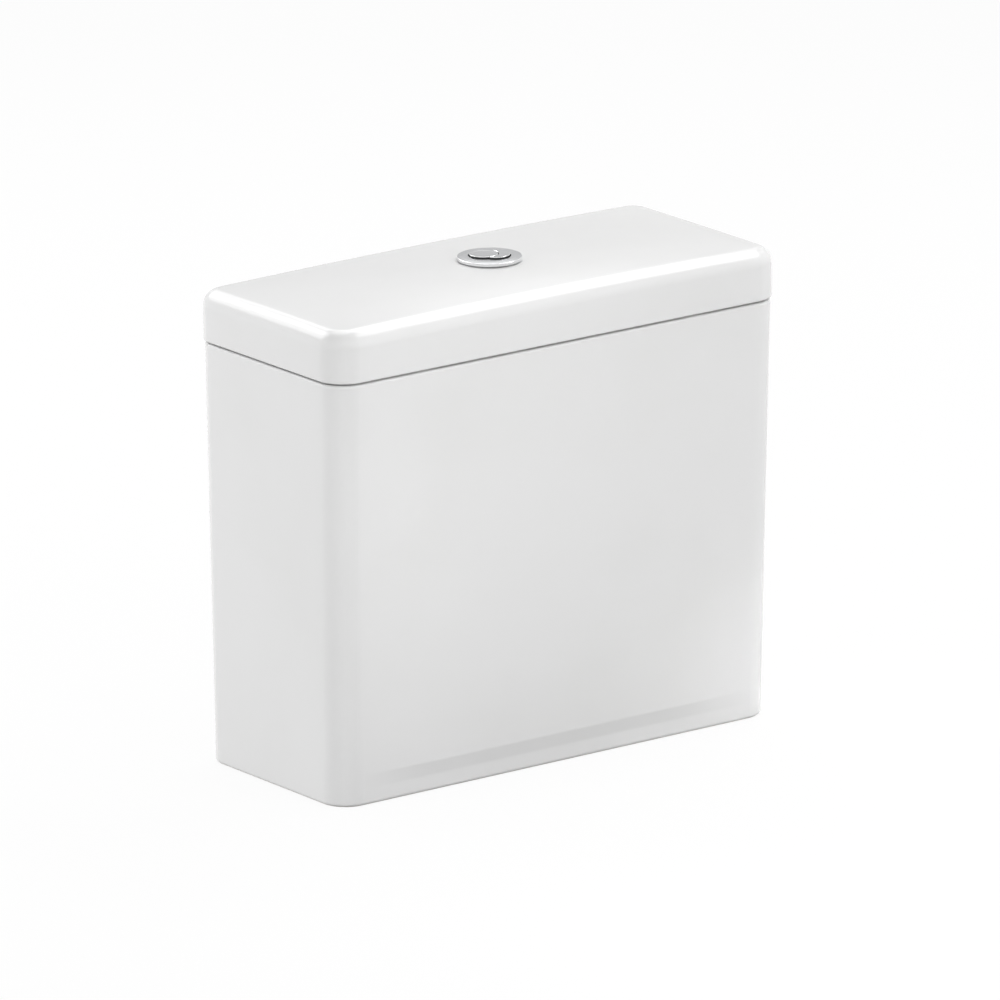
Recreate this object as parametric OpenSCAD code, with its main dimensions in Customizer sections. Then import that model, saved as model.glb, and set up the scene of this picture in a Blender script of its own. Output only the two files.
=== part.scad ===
// Close-coupled toilet cistern: glazed tank and domed lid, two-part flush button,
// dual-flush valve with crossed rocker levers, and a bottom-entry float fill valve.
// Millimetres, +Z up, front towards -Y. The origin is the middle of the foot plane.

/* [Lid] */
// Width of the lid
lid_w = 400; // [360:1:440]
// Depth of the lid, front to back
lid_d = 175; // [165:1:200]
// Height of the lid from its skirt to the rounded edge
lid_h = 37.2; // [34:0.1:48]
// Rise of the domed top at its middle
lid_dome = 6; // [3:0.5:9]
// Rise of the long edges at mid length
lid_edge_crown = 1; // [0:0.1:3]
// Radius of the rounded top edge
lid_edge_r = 12; // [6:0.5:14]
// Radius of the small rounding under the skirt
lid_skirt_r = 1.5; // [0.5:0.1:3]
// Thickness of the lid's skirt
lid_wall = 9; // [7:0.5:11]
// Thickness of the lid's roof at its edges
lid_roof = 9; // [7:0.5:12]
// Radius of the front corners in plan
front_corner_r = 22; // [17:0.5:30]
// Radius of the rear corners in plan
rear_corner_r = 18; // [17:0.5:30]
// How far the locating lugs hang below the skirt
lug_drop = 8; // [4:0.5:14]
// Length of a locating lug
lug_w = 30; // [16:1:50]
// Thickness of a locating lug
lug_t = 8; // [5:0.5:12]
// Distance of the locating lugs from the middle
lug_x = 150; // [140:1:160]

/* [Tank] */
// Height of the tank's rim above its foot
tank_h = 315; // [300:1:360]
// How far the lid overhangs the rim
lid_overhang = 1.1; // [0.5:0.1:4]
// Gap between rim and lid, the thickness of the buffers
seam_gap = 1.5; // [0.8:0.1:3]
// How far each side leans in towards the foot
side_draft = 4; // [0:0.5:8]
// How far the front leans in towards the foot
front_draft = 9; // [0:0.5:10]
// Thickness of the tank's walls
tank_wall = 10; // [8:0.5:12]
// Thickness of the tank's floor
tank_floor = 12; // [9:0.5:16]
// Depth of the recess under the floor
foot_depth = 30; // [28:0.5:40]
// Rounding of the foot's outer edge
foot_edge_r = 3; // [1:0.5:5]
// Rounding of the rim's outer edge
rim_edge_r = 2; // [1:0.5:3]
// Rounding between floor and walls inside
cavity_r = 4; // [2:0.5:5]
// Distance between the two coupling bolt holes
bolt_spacing = 150; // [146:1:170]
// Radius of a coupling bolt hole
bolt_hole_r = 5.5; // [4:0.5:7]
// Length of a lid buffer
buffer_l = 14; // [8:1:20]
// Width of a lid buffer
buffer_w = 4; // [3:0.5:5]
// Distance of the lid buffers from the middle
buffer_x = 120; // [60:1:150]
// How far the buffers stand inside the lid's skirt
buffer_set = 0.5; // [0:0.1:1]

/* [Flush button] */
// Radius of the button hole in the lid
lid_bore_r = 20.2; // [20:0.1:22]
// Radius of the bezel
bezel_r = 23.6; // [23:0.1:28]
// Height of the bezel above its gasket
bezel_h = 2; // [1.5:0.1:4]
// Radius of the bezel's rounded rim
bezel_rim_r = 1.4; // [0.6:0.1:1.5]
// Length of the bezel's collar inside the sleeve
collar_h = 10; // [6:0.5:14]
// Wall of the bezel's collar
collar_wall = 1.1; // [0.8:0.1:1.2]
// Thickness of the gasket under the bezel
gasket_t = 0.8; // [0.5:0.1:2]
// Width of the gasket's ring
gasket_w = 2.6; // [1.5:0.1:2.9]
// Wall of the threaded sleeve
sleeve_wall = 2; // [1.6:0.1:2.1]
// Length of the sleeve below the lid's roof
sleeve_drop = 24; // [18:0.5:26]
// Thickness of the sleeve's floor
sleeve_floor = 3; // [2:0.5:5]
// Radius of the sleeve nut
sleeve_nut_r = 27; // [25:0.5:32]
// Height of the sleeve nut
sleeve_nut_h = 10; // [6:0.5:14]
// Radius of the two overlapping button circles
button_r = 10.6; // [10:0.1:10.8]
// Distance between the two button circles
button_pitch = 8.7; // [8:0.1:9]
// Direction in which the crescent lies from the round button
button_turn = -45; // [-55:1:-35]
// Height of a button
button_h = 8; // [6:0.5:10]
// How far the buttons stand above the bezel
button_proud = 1.6; // [0.5:0.1:3]
// Bevel round a button's top
button_bevel = 0.6; // [0.2:0.1:1]
// Thickness of a button's retaining flange
button_flange_t = 1.5; // [1:0.1:2.5]
// Width of a button's retaining flange
button_flange_w = 1.2; // [0.8:0.1:1.3]
// Travel of a button when pressed
press_travel = 6; // [4:0.5:6.5]
// Radius of a push rod
rod_r = 2.5; // [2:0.1:2.7]
// Distance of a push rod from the button axis
rod_off = 9.3; // [9:0.1:9.8]
// Radius of the return spring's wire
spring_wire_r = 0.4; // [0.3:0.05:0.6]
// Radius of the return spring at its wire
spring_r = 3.6; // [3.5:0.1:4.2]
// Turns of the return spring
spring_turns = 10; // [6:1:12]

/* [Flush valve] */
// Radius of the outlet hole in the tank's floor
outlet_hole_r = 31.5; // [31:0.5:36]
// Radius of the threaded shank
shank_r = 29.8; // [28:0.1:30]
// Radius of the outlet bore
outlet_r = 24; // [20:0.5:25]
// Distance from the tank's foot to the end of the shank
shank_end_z = 8; // [4:0.5:12]
// Radius of the flange inside the tank
flange_r = 40; // [39:0.5:44]
// Thickness of the flange
flange_t = 5; // [4:0.5:8]
// Thickness of the seal under the flange
base_seal_t = 4; // [2:0.5:6]
// Height of the valve seat above the flange
seat_h = 15; // [14.5:0.5:20]
// Wall of the valve seat
seat_wall = 3.5; // [2.5:0.5:4]
// Height of the legs that carry the tower
leg_h = 33; // [30:0.5:45]
// Radial depth of a leg
leg_depth = 6; // [4:0.5:6.5]
// Width of a leg
leg_w = 8; // [5:0.5:12]
// Height of the tower
tower_h = 116; // [90:1:126]
// Inner radius of the tower
tower_r = 31.5; // [31.5:0.1:33]
// Wall of the tower
tower_wall = 2.5; // [2:0.1:3.5]
// Thickness of the tower's top
tower_top = 4; // [3:0.5:6]
// Height of the ring at the tower's foot
tower_ring_h = 4; // [3:0.5:8]
// Width of the flow windows in the tower
window_w = 10; // [6:0.5:14]
// Height of the flow windows in the tower
window_h = 50; // [20:1:60]
// Height of the overflow above the tank's floor
overflow_h = 190; // [180:1:196]
// Outer radius of the overflow tube
tube_r = 13; // [12:0.1:13.5]
// Wall of the overflow tube
tube_wall = 2; // [1.5:0.1:3]
// Radius of the bell
bell_r = 30; // [29:0.1:30.5]
// Thickness of the bell
bell_t = 4; // [3:0.5:6]
// Thickness of the bell's seal
bell_seal_t = 3; // [2:0.5:5]
// Radius of the float on the stem
bell_float_r = 26; // [20:0.5:28]
// Height of the float on the stem
bell_float_h = 45; // [20:1:60]
// Height of the back nut under the tank
back_nut_h = 12; // [8:0.5:16]
// Radius over the corners of the back nut
back_nut_r = 38; // [37:0.5:42]
// Width of the coupling gasket's ring
coupling_w = 12; // [8:0.5:16]
// Distance from the tank's foot to the end of the coupling gasket
coupling_end_z = 3; // [1:0.5:8]
// Bevel round the end of the coupling gasket
coupling_bevel = 6; // [2:0.5:7]

/* [Half flush] */
// Outer radius of the half-flush standpipe
pipe_r = 10; // [9:0.1:10.5]
// Wall of the half-flush standpipe
pipe_wall = 2; // [1.5:0.1:3]
// Height of the standpipe above the flange
pipe_h = 79; // [60:1:100]
// Outer radius of the duct to the outlet
duct_r = 7; // [6.5:0.1:7]
// Wall of the duct
duct_wall = 2; // [1.5:0.1:3]
// How far the duct is sunk into the flange
duct_sink = 1.2; // [0.8:0.1:1.8]
// Thickness of the plunger's disc
plunger_t = 3; // [2:0.5:5]
// How far the plunger's disc overhangs the pipe
plunger_over = 1; // [0.5:0.1:2]
// Thickness of the plunger's seal
plunger_seal_t = 2; // [1.5:0.1:4]
// Length of the guide fins in the pipe
fin_h = 26; // [22:1:40]
// Thickness of a guide fin
fin_t = 2; // [1.5:0.1:3]

/* [Lever gear] */
// Distance of the lever pins from the valve axis
pivot_x = 8; // [7:0.1:9]
// Reach of the full-flush lever past its pin
full_reach = 33; // [30:0.5:38]
// Reach of the half-flush lever past its pin
half_reach = 43; // [41:0.5:50]
// Thickness of a lever
lever_t = 6; // [4:0.5:8]
// Width of a lever
lever_w = 7; // [5:0.1:8]
// Radius of a lever's hub
hub_r = 5; // [4.5:0.1:6]
// Radius of a lever pin
pin_r = 2; // [1.5:0.1:2.5]
// How far a lever runs past its push rod
pad_over = 5.4; // [4:0.1:6]
// Thickness of the bridge's side plates
plate_t = 3; // [2.5:0.1:4]
// Half length of the bridge's side plates
plate_x = 13; // [12.5:0.1:16]
// Height of the bridge's side plates above the pins
plate_rise = 6; // [5:0.5:8]
// Thickness of the bridge's foot
bridge_foot_t = 3; // [2:0.5:5]
// Thickness of the bars across the bridge
bar_t = 3; // [2:0.5:5]
// Thickness of the lifting hooks and bars
hook_t = 4; // [3:0.5:6]
// Thickness of the upright bars of the lifters
upright_t = 3; // [2.5:0.1:5]
// How far a lifting hook reaches over its lever
hook_reach = 12; // [6:0.5:14]
// Height of the crosshead's clamp on the tube
clamp_h = 10; // [6:0.5:14]
// Wall of the crosshead's clamp
clamp_wall = 3; // [2:0.1:3.5]
// Distance from the crosshead's clamp to the end of the tube
clamp_set = 4; // [2:0.5:10]

/* [Fill valve] */
// Distance of the fill valve from the middle
fill_x = 120; // [116:1:125]
// Radius of the inlet thread
inlet_r = 10.4; // [9.5:0.1:11]
// Length of the free inlet thread
inlet_l = 16; // [12:0.5:16.5]
// Distance from the tank's foot to the end of the inlet
inlet_end_z = 3; // [1:0.5:4]
// Step in from the inlet thread to the shank above it
shank_step = 0.2; // [0.1:0.1:0.5]
// Radius of the inlet bore
inlet_bore_r = 6.5; // [5.5:0.1:7]
// Radius of the inlet flange
inlet_flange_r = 17; // [15:0.5:20]
// Thickness of the inlet flange
inlet_flange_t = 4; // [3:0.5:6]
// Thickness of the inlet washer
inlet_washer_t = 3; // [2:0.5:5]
// Height of the inlet lock nut
lock_nut_h = 9; // [6:0.5:9]
// Radius over the corners of the lock nut
lock_nut_r = 17; // [15:0.5:20]
// Length of the inlet filter
filter_l = 20; // [12:1:30]
// Wall of the inlet filter
filter_wall = 1.2; // [0.8:0.1:2]
// Height of the riser above its flange
riser_h = 189; // [170:1:192]
// Radius of the riser
riser_r = 12; // [11:0.1:13]
// Radius of the valve head
head_r = 20; // [19:0.5:24]
// Height of the valve head
head_h = 24; // [20:0.5:28]
// Height of the valve cap
cap_h = 10; // [8:0.5:12]
// Radius of the diaphragm
diaphragm_r = 15; // [12:0.5:15.5]
// Thickness of the diaphragm
diaphragm_t = 2; // [1.5:0.1:3]
// Height of the cap's plug over the diaphragm
plug_h = 2; // [1.5:0.1:4]
// Height of the spout above the head's foot
spout_rise = 2; // [1:0.5:6]
// Wall of the spout round the silencer tube
spout_wall = 1; // [0.5:0.1:3]
// Distance of the silencer tube from the valve axis
silencer_y = 38; // [37:0.5:42]
// Radius of the silencer tube
silencer_r = 6; // [5:0.1:6.5]
// Wall of the silencer tube
silencer_wall = 1.2; // [0.8:0.1:2]
// Distance from the tank's floor to the end of the silencer tube
silencer_end = 18; // [8:1:40]

/* [Float] */
// Radius of the float cup
float_r = 30; // [26:0.5:31]
// Height of the float cup
float_h = 55; // [40:1:70]
// Wall of the float cup
float_wall = 2; // [1.5:0.1:3]
// Gap between the float cup and the valve head, float down
float_drop = 33; // [24:1:40]
// Travel of the float
float_travel = 12; // [6:0.5:14]
// Distance from the float lever's pin to the adjusting rod
float_arm = 40; // [38:0.5:42]
// Distance of the float lever's pin from the valve axis
float_pin_x = 14; // [12:0.5:15]
// Radius of the float lever's pin
float_pin_r = 1.5; // [1:0.1:2]
// Thickness of the float lever
float_lever_t = 4; // [3:0.5:5]
// Width of the float lever
float_lever_w = 9; // [8:0.5:10]
// Radius of the float lever's hub
float_hub_r = 4; // [3.5:0.1:5]
// Thickness of the ears that hold the pin
ear_t = 2; // [1.5:0.1:3]
// How far an ear is wider than the hub on each side
ear_over = 1; // [0.5:0.1:2]
// Length of the float lever past its slot
slot_end = 3; // [2:0.5:5]
// Radius of the adjusting rod
adjust_r = 2; // [1.5:0.1:2.2]
// Radius of the stops on the adjusting rod
stop_r = 3.5; // [3:0.1:4]

/* [Fits] */
// Clearance round pieces that are screwed or pushed together
fit_gap = 0.1; // [0.05:0.05:0.2]
// Clearance round a pin in a lever
run_gap = 0.06; // [0.02:0.01:0.1]
// Clearance round pieces that slide
slide_gap = 0.5; // [0.3:0.1:0.6]
// Clearance where a moving face meets its stop
rest_gap = 0.3; // [0.2:0.05:0.4]
// Clearance between a push rod and its lever
push_gap = 0.4; // [0.3:0.05:0.5]
// Clearance of the locating lugs in the tank
lug_gap = 1.5; // [1:0.1:3]
// Clearance of the threaded shanks in the tank's holes
hole_gap = 1.2; // [0.8:0.1:2]
// Clearance of the sleeve in the lid's hole
bore_gap = 0.6; // [0.4:0.1:0.8]
// Clearance between the lifted stem and the bars over it
stem_gap = 2; // [1:0.5:4]
// Clearance between a pressed lever and the bars under it
pad_gap = 0.6; // [0.4:0.1:1.5]
// Clearance between the bridge's plates and the levers
plate_gap = 1.5; // [1:0.1:2.5]
// How far a pin stands out of its plate
pin_proud = 0.5; // [0.2:0.1:1]
// How far a seal stands inside its flange
seal_set = 1; // [0.4:0.1:1.5]

/* [Hidden] */
$fn = 64;

// How far a cutting shape runs past the face that it cuts
over = 1;
// Steps in a rounded corner, in a rounded edge and along the lid's edges
corner_steps = 12;
edge_steps = 6;
long_steps = 16;
short_steps = 8;
// Rings of the lid's dome, from its edge inwards
dome_steps = 7;

// Levels of the tank and the lid
floor_z = foot_depth + tank_floor;
skirt_z = tank_h + seam_gap;
edge_z = skirt_z + lid_h;
crown_z = edge_z + lid_dome;
crown_r = 0.85 * lid_bore_r;
roof_z = edge_z - lid_roof;

// The flush button
bezel_z = crown_z + gasket_t;
button_z = bezel_z + bezel_h + button_proud;
button_foot_z = button_z - button_h;
sleeve_r = lid_bore_r - bore_gap;
sleeve_in_r = sleeve_r - sleeve_wall;
collar_r = sleeve_in_r - fit_gap;
sleeve_z = roof_z - sleeve_drop;
spring_seat_z = sleeve_z + sleeve_floor;
rod_x = rod_off * cos(button_turn);
rod_y = -rod_off * sin(button_turn);

// Swing of the levers, and the lift that it gives at their ends
pad_arm = pivot_x + rod_x;
lever_swing = asin(press_travel / pad_arm);
stem_lift = full_reach * press_travel / pad_arm;
pad_fall = (pad_arm + pad_over) * sin(lever_swing) + lever_t / 2;

// Levels of the flush valve
flange_z = floor_z + base_seal_t;
seat_foot_z = flange_z + flange_t;
seat_z = seat_foot_z + seat_h;
bell_z = seat_z + rest_gap + bell_seal_t;
tower_z = seat_foot_z + leg_h;
tower_top_z = tower_z + tower_h;
overflow_z = floor_z + overflow_h;
bar_z = overflow_z + stem_lift + stem_gap;
pivot_z = bar_z + bar_t + pad_fall + pad_gap;
hook_z = pivot_z + lever_t / 2 + push_gap;
tower_ring_r = tower_r + leg_depth;
clamp_r = tube_r + fit_gap + clamp_wall;
clamp_z = overflow_z - clamp_h - clamp_set;
plate_y = max(clamp_r, rod_y + lever_w / 2) + plate_gap;
web_y = rod_y - lever_w / 2 - slide_gap;
pin_end_y = plate_y + plate_t + pin_proud;
hook_half = lever_w / 2 + slide_gap;
hook_bar_x = pivot_x + full_reach + 2 * slide_gap + upright_t / 2;

// The half-flush valve
pipe_x = -(pivot_x + half_reach + 2 * slide_gap + upright_t / 2);
pipe_y = -rod_y;
pipe_z = seat_foot_z + pipe_h;
duct_z = seat_foot_z + duct_r - duct_sink;
plunger_z = pipe_z + rest_gap + plunger_seal_t;

// Levels of the fill valve and its float
inlet_thread_z = inlet_end_z + inlet_l;
inlet_shank_r = inlet_r - shank_step;
inlet_flange_z = floor_z + inlet_washer_t;
riser_z = inlet_flange_z + inlet_flange_t;
head_z = riser_z + riser_h;
cap_z = head_z + head_h;
cap_top_z = cap_z + cap_h;
float_pin_z = cap_top_z + float_hub_r + slide_gap;
float_swing = atan(float_travel / float_arm);
float_top_z = head_z - float_drop;
float_z = float_top_z - float_h;
adjust_x = fill_x + float_pin_x - float_arm;
spout_h = 2 * silencer_r;
spout_z = head_z + spout_rise;
chamber_z = cap_z - diaphragm_t - plug_h;
ear_y = float_lever_w / 2 + slide_gap;
float_pin_end_y = ear_y + ear_t + pin_proud;

// Points of a quarter arc, and points between two ends
function quarter(cx, cy, r, from) =
    [for (i = [0:corner_steps]) let (a = from + 90 * i / corner_steps) [cx + r * cos(a), cy + r * sin(a)]];
function between(p, q, steps) = [for (i = [1:1:steps - 1]) p + (q - p) * i / steps];

// Outline of a rectangle with rounded corners, front and rear radii apart
function outline(half_w, front, back, front_r, rear_r, along, across) =
    let (
        a = quarter(half_w - rear_r, back - rear_r, rear_r, 0),
        b = quarter(rear_r - half_w, back - rear_r, rear_r, 90),
        c = quarter(front_r - half_w, front + front_r, front_r, 180),
        d = quarter(half_w - front_r, front + front_r, front_r, 270),
        n = corner_steps
    )
    concat(
        a, between(a[n], b[0], along), b, between(b[n], c[0], across),
        c, between(c[n], d[0], along), d, between(d[n], a[0], across)
    );
function at_height(points, z) = [for (p = points) [p[0], p[1], z]];

// One ring of the tank at a height, set in from its outer face
function tank_ring(z, inset) =
    let (lean = 1 - z / tank_h, rim = lid_overhang + inset)
    at_height(
        outline(
            lid_w / 2 - rim - side_draft * lean, rim + front_draft * lean - lid_d / 2, lid_d / 2 - rim,
            front_corner_r - rim, rear_corner_r - rim, 1, 1
        ),
        z
    );

// One outline of the lid, set in from its skirt, and the height of its domed top
function lid_outline(inset) =
    outline(
        lid_w / 2 - inset, inset - lid_d / 2, lid_d / 2 - inset,
        front_corner_r - inset, rear_corner_r - inset, long_steps, short_steps
    );
function lid_top(p) =
    let (u = 1 - pow(2 * p[0] / lid_w, 2), v = 1 - pow(2 * p[1] / lid_d, 2))
    edge_z + u * (lid_edge_crown + (lid_dome - lid_edge_crown) * v);
function lid_edge_ring(a) =
    [for (p = lid_outline(lid_edge_r * (1 - cos(a)))) [p[0], p[1], lid_top(p) - lid_edge_r * (1 - sin(a))]];
// One ring of the dome, part of the way from the rounded edge to a circle inside the button hole
function lid_dome_ring(part) =
    let (edge = lid_outline(lid_edge_r), n = len(edge))
    [
        for (i = [0:n - 1])
        let (
            a = 360 * (i + short_steps / 2) / n,
            p = edge[i] * (1 - part) + crown_r * part * [cos(a), sin(a)]
        )
        [p[0], p[1], part < 1 ? lid_top(p) : crown_z]
    ];

// Solid through rings of points, closed flat at both ends
module loft(rings) {
    n = len(rings[0]);
    last = (len(rings) - 1) * n;
    sides = [
        for (k = [0:len(rings) - 2], i = [0:n - 1])
        let (a = k * n + i, b = k * n + (i + 1) % n)
        each [[a, b + n, b], [a, a + n, b + n]]
    ];
    // The end faces start inside a corner's arc, so that no three of their points lie in line with it
    start = corner_steps / 2;
    foot = [[for (i = [0:n - 1]) (i + start) % n]];
    top = [[for (i = [n - 1:-1:0]) last + (i + start) % n]];
    polyhedron(points = [for (ring = rings) each ring], faces = concat(foot, sides, top));
}

// Ring between two radii
module ring(r, inner_r, h) {
    difference() {
        cylinder(r = r, h = h);
        translate([0, 0, -over]) cylinder(r = inner_r, h = h + 2 * over);
    }
}

// Block from one corner to the opposite one
module block(low, high) {
    translate(low) cube(high - low);
}

// Cylinder along Y between two places
module cross_cylinder(r, low, high) {
    translate([0, high, 0]) rotate([90, 0, 0]) cylinder(r = r, h = high - low);
}

// Glazed tank: walls, floor, recessed underside and its four kinds of hole
module cistern_tank() {
    foot = [
        for (i = [0:edge_steps])
        let (a = 90 - 90 * i / edge_steps)
        tank_ring(foot_edge_r * (1 - sin(a)), foot_edge_r * (1 - cos(a)))
    ];
    rim = [
        for (i = [0:edge_steps])
        let (a = 90 * i / edge_steps)
        tank_ring(tank_h - rim_edge_r * (1 - sin(a)), rim_edge_r * (1 - cos(a)))
    ];
    inside = [
        for (i = [0:edge_steps])
        let (a = 90 - 90 * i / edge_steps)
        tank_ring(floor_z + cavity_r * (1 - sin(a)), tank_wall + cavity_r * (1 - cos(a)))
    ];
    color("white") difference() {
        loft(concat(foot, rim));
        loft(concat(inside, [tank_ring(tank_h + over, tank_wall)]));
        loft([tank_ring(-over, tank_wall), tank_ring(foot_depth, tank_wall)]);
        translate([0, 0, foot_depth - over]) cylinder(r = outlet_hole_r, h = tank_floor + 2 * over);
        translate([fill_x, 0, foot_depth - over])
            cylinder(r = inlet_r + hole_gap, h = tank_floor + 2 * over);
        for (side = [-1, 1])
            translate([side * bolt_spacing / 2, 0, foot_depth - over])
                cylinder(r = bolt_hole_r, h = tank_floor + 2 * over);
    }
}

// Four soft pads on the rim, under the lid's long sides
module lid_buffers() {
    pad_y = lid_d / 2 - lid_wall - buffer_set + buffer_w / 2;
    color("gainsboro")
        for (x = [-buffer_x, buffer_x], side = [-1, 1])
            translate([x - buffer_l / 2, side * pad_y - buffer_w / 2, tank_h])
                cube([buffer_l, buffer_w, seam_gap]);
}

// Domed lid with its hollow underside, button hole and locating lugs
module cistern_lid() {
    skirt = [
        for (i = [0:edge_steps])
        let (a = 90 - 90 * i / edge_steps)
        at_height(lid_outline(lid_skirt_r * (1 - cos(a))), skirt_z + lid_skirt_r * (1 - sin(a)))
    ];
    edge = [for (i = [0:edge_steps]) lid_edge_ring(90 * i / edge_steps)];
    dome = [for (i = [1:dome_steps]) lid_dome_ring(i / dome_steps)];
    hollow = lid_outline(lid_wall);
    lug_y = lid_d / 2 - lid_overhang - tank_wall - lug_gap;
    color("white") difference() {
        union() {
            difference() {
                loft(concat(skirt, edge, dome));
                loft([at_height(hollow, skirt_z - over), at_height(hollow, roof_z)]);
            }
            for (x = [-lug_x, lug_x], side = [-1, 1])
                translate([x - lug_w / 2, side * (lug_y - lug_t / 2) - lug_t / 2, skirt_z - lug_drop])
                    cube([lug_w, lug_t, roof_z + over - skirt_z + lug_drop]);
        }
        translate([0, 0, roof_z - over]) cylinder(r = lid_bore_r, h = lid_roof + lid_dome + 2 * over);
    }
}

// Soft ring between the bezel and the lid
module button_gasket() {
    color("dimgray") translate([0, 0, crown_z]) ring(lid_bore_r + gasket_w, lid_bore_r, gasket_t);
}

// The outline of the two overlapping button circles, grown by a gap
module button_pair(gap, z, h) {
    rotate([0, 0, button_turn])
        for (side = [-1, 1])
            translate([side * button_pitch / 2, 0, z]) cylinder(r = button_r + gap, h = h);
}

// Chrome bezel: plate with a rounded rim, and the collar that screws into the sleeve
module button_bezel() {
    rim = [
        for (i = [0:edge_steps])
        let (a = 90 * i / edge_steps)
        [bezel_r - bezel_rim_r * (1 - cos(a)), bezel_h - bezel_rim_r * (1 - sin(a))]
    ];
    color("silver") difference() {
        union() {
            translate([0, 0, bezel_z])
                rotate_extrude() polygon(concat([[0, 0], [bezel_r, 0]], rim, [[0, bezel_h]]));
            translate([0, 0, bezel_z - collar_h])
                ring(collar_r, collar_r - collar_wall, collar_h + bezel_h / 2);
        }
        button_pair(slide_gap, bezel_z - over, bezel_h + 2 * over);
    }
}

// Threaded sleeve through the lid, with a floor that guides the rods and seats the springs
module button_sleeve() {
    color("whitesmoke") translate([0, 0, sleeve_z]) difference() {
        cylinder(r = sleeve_r, h = bezel_z - sleeve_z);
        translate([0, 0, sleeve_floor]) cylinder(r = sleeve_in_r, h = bezel_z - sleeve_z);
        for (side = [-1, 1])
            translate([side * rod_x, -side * rod_y, -over])
                cylinder(r = rod_r + slide_gap, h = sleeve_floor + 2 * over);
    }
}

// Nut that clamps the sleeve under the lid's roof, with finger lugs
module sleeve_nut() {
    lugs = 6;
    lug_r = 4;
    lug_rise = 2;
    color("whitesmoke") translate([0, 0, roof_z - sleeve_nut_h]) difference() {
        union() {
            cylinder(r = sleeve_nut_r - lug_rise, h = sleeve_nut_h);
            for (i = [0:lugs - 1])
                rotate([0, 0, 360 * i / lugs]) translate([sleeve_nut_r - lug_r, 0, 0])
                    cylinder(r = lug_r, h = sleeve_nut_h);
        }
        translate([0, 0, -over]) cylinder(r = sleeve_r + fit_gap, h = sleeve_nut_h + 2 * over);
    }
}

// One button circle with a bevelled top, and a flange on its outer half that the bezel holds back
module button_body(side) {
    flange_z = bezel_z - rest_gap - button_flange_t;
    translate([side * button_pitch / 2, 0, 0]) {
        translate([0, 0, button_foot_z]) cylinder(r = button_r, h = button_h - button_bevel);
        translate([0, 0, button_z - button_bevel])
            cylinder(r1 = button_r, r2 = button_r - button_bevel, h = button_bevel);
        intersection() {
            translate([0, 0, flange_z]) cylinder(r = button_r + button_flange_w, h = button_flange_t);
            translate([side * 2 * button_r, 0, flange_z + button_flange_t / 2])
                cube([4 * button_r, 4 * button_r, 2 * button_flange_t], center = true);
        }
    }
}

// Round full-flush button, relieved where it comes down beside the crescent's spring
module full_flush_button() {
    color("silver") difference() {
        rotate([0, 0, button_turn]) button_body(-1);
        translate([rod_x, -rod_y, button_foot_z - over])
            cylinder(r = spring_r + spring_wire_r + slide_gap, h = over + press_travel + slide_gap);
    }
}

// Crescent half-flush button, cut clear of the round one
module half_flush_button() {
    color("silver") rotate([0, 0, button_turn]) difference() {
        button_body(1);
        translate([-button_pitch / 2, 0, button_foot_z - over])
            cylinder(r = button_r + slide_gap, h = button_h + 2 * over);
    }
}

// Push rod with a round tip that reaches down to its lever
module push_rod() {
    tip_z = pivot_z + lever_t / 2 + push_gap;
    translate([0, 0, tip_z + rod_r]) {
        cylinder(r = rod_r, h = button_foot_z - tip_z - rod_r);
        sphere(r = rod_r);
    }
}

// Rod under the round button
module full_flush_rod() {
    color("white") translate([-rod_x, rod_y, 0]) push_rod();
}

// Rod under the crescent button
module half_flush_rod() {
    color("lightskyblue") translate([rod_x, -rod_y, 0]) push_rod();
}

// Return spring: one wire of six sides wound round its rod
spring_sides = 6;
spring_rings = 8;
spring_foot = spring_seat_z + spring_wire_r + rest_gap;
spring_top = button_foot_z - spring_wire_r - rest_gap;
spring_pitch = (spring_top - spring_foot) / spring_turns;
function spring_point(t) =
    [spring_r * cos(360 * t), spring_r * sin(360 * t), spring_foot + spring_pitch * t];
function spring_ring(t) =
    [
        for (j = [0:spring_sides - 1])
        let (b = 360 * j / spring_sides, out = spring_r + spring_wire_r * cos(b))
        [out * cos(360 * t), out * sin(360 * t), spring_point(t)[2] + spring_wire_r * sin(b)]
    ];
spring_steps = spring_turns * spring_rings;
spring_gap = min([
    for (i = [0:spring_steps - spring_rings])
    let (t = i / spring_rings)
    norm(spring_point(t + 1) - spring_point(t)) - 2 * spring_wire_r
]);
echo(str("Least gap between the return spring's turns: ", spring_gap, " mm"));

module return_spring() {
    loft([for (i = [0:spring_steps]) spring_ring(i / spring_rings)]);
}

// Spring round the full-flush rod
module full_button_spring() {
    color("lightsteelblue") translate([-rod_x, rod_y, 0]) return_spring();
}

// Spring round the half-flush rod
module half_button_spring() {
    color("lightsteelblue") translate([rod_x, -rod_y, 0]) return_spring();
}

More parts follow.
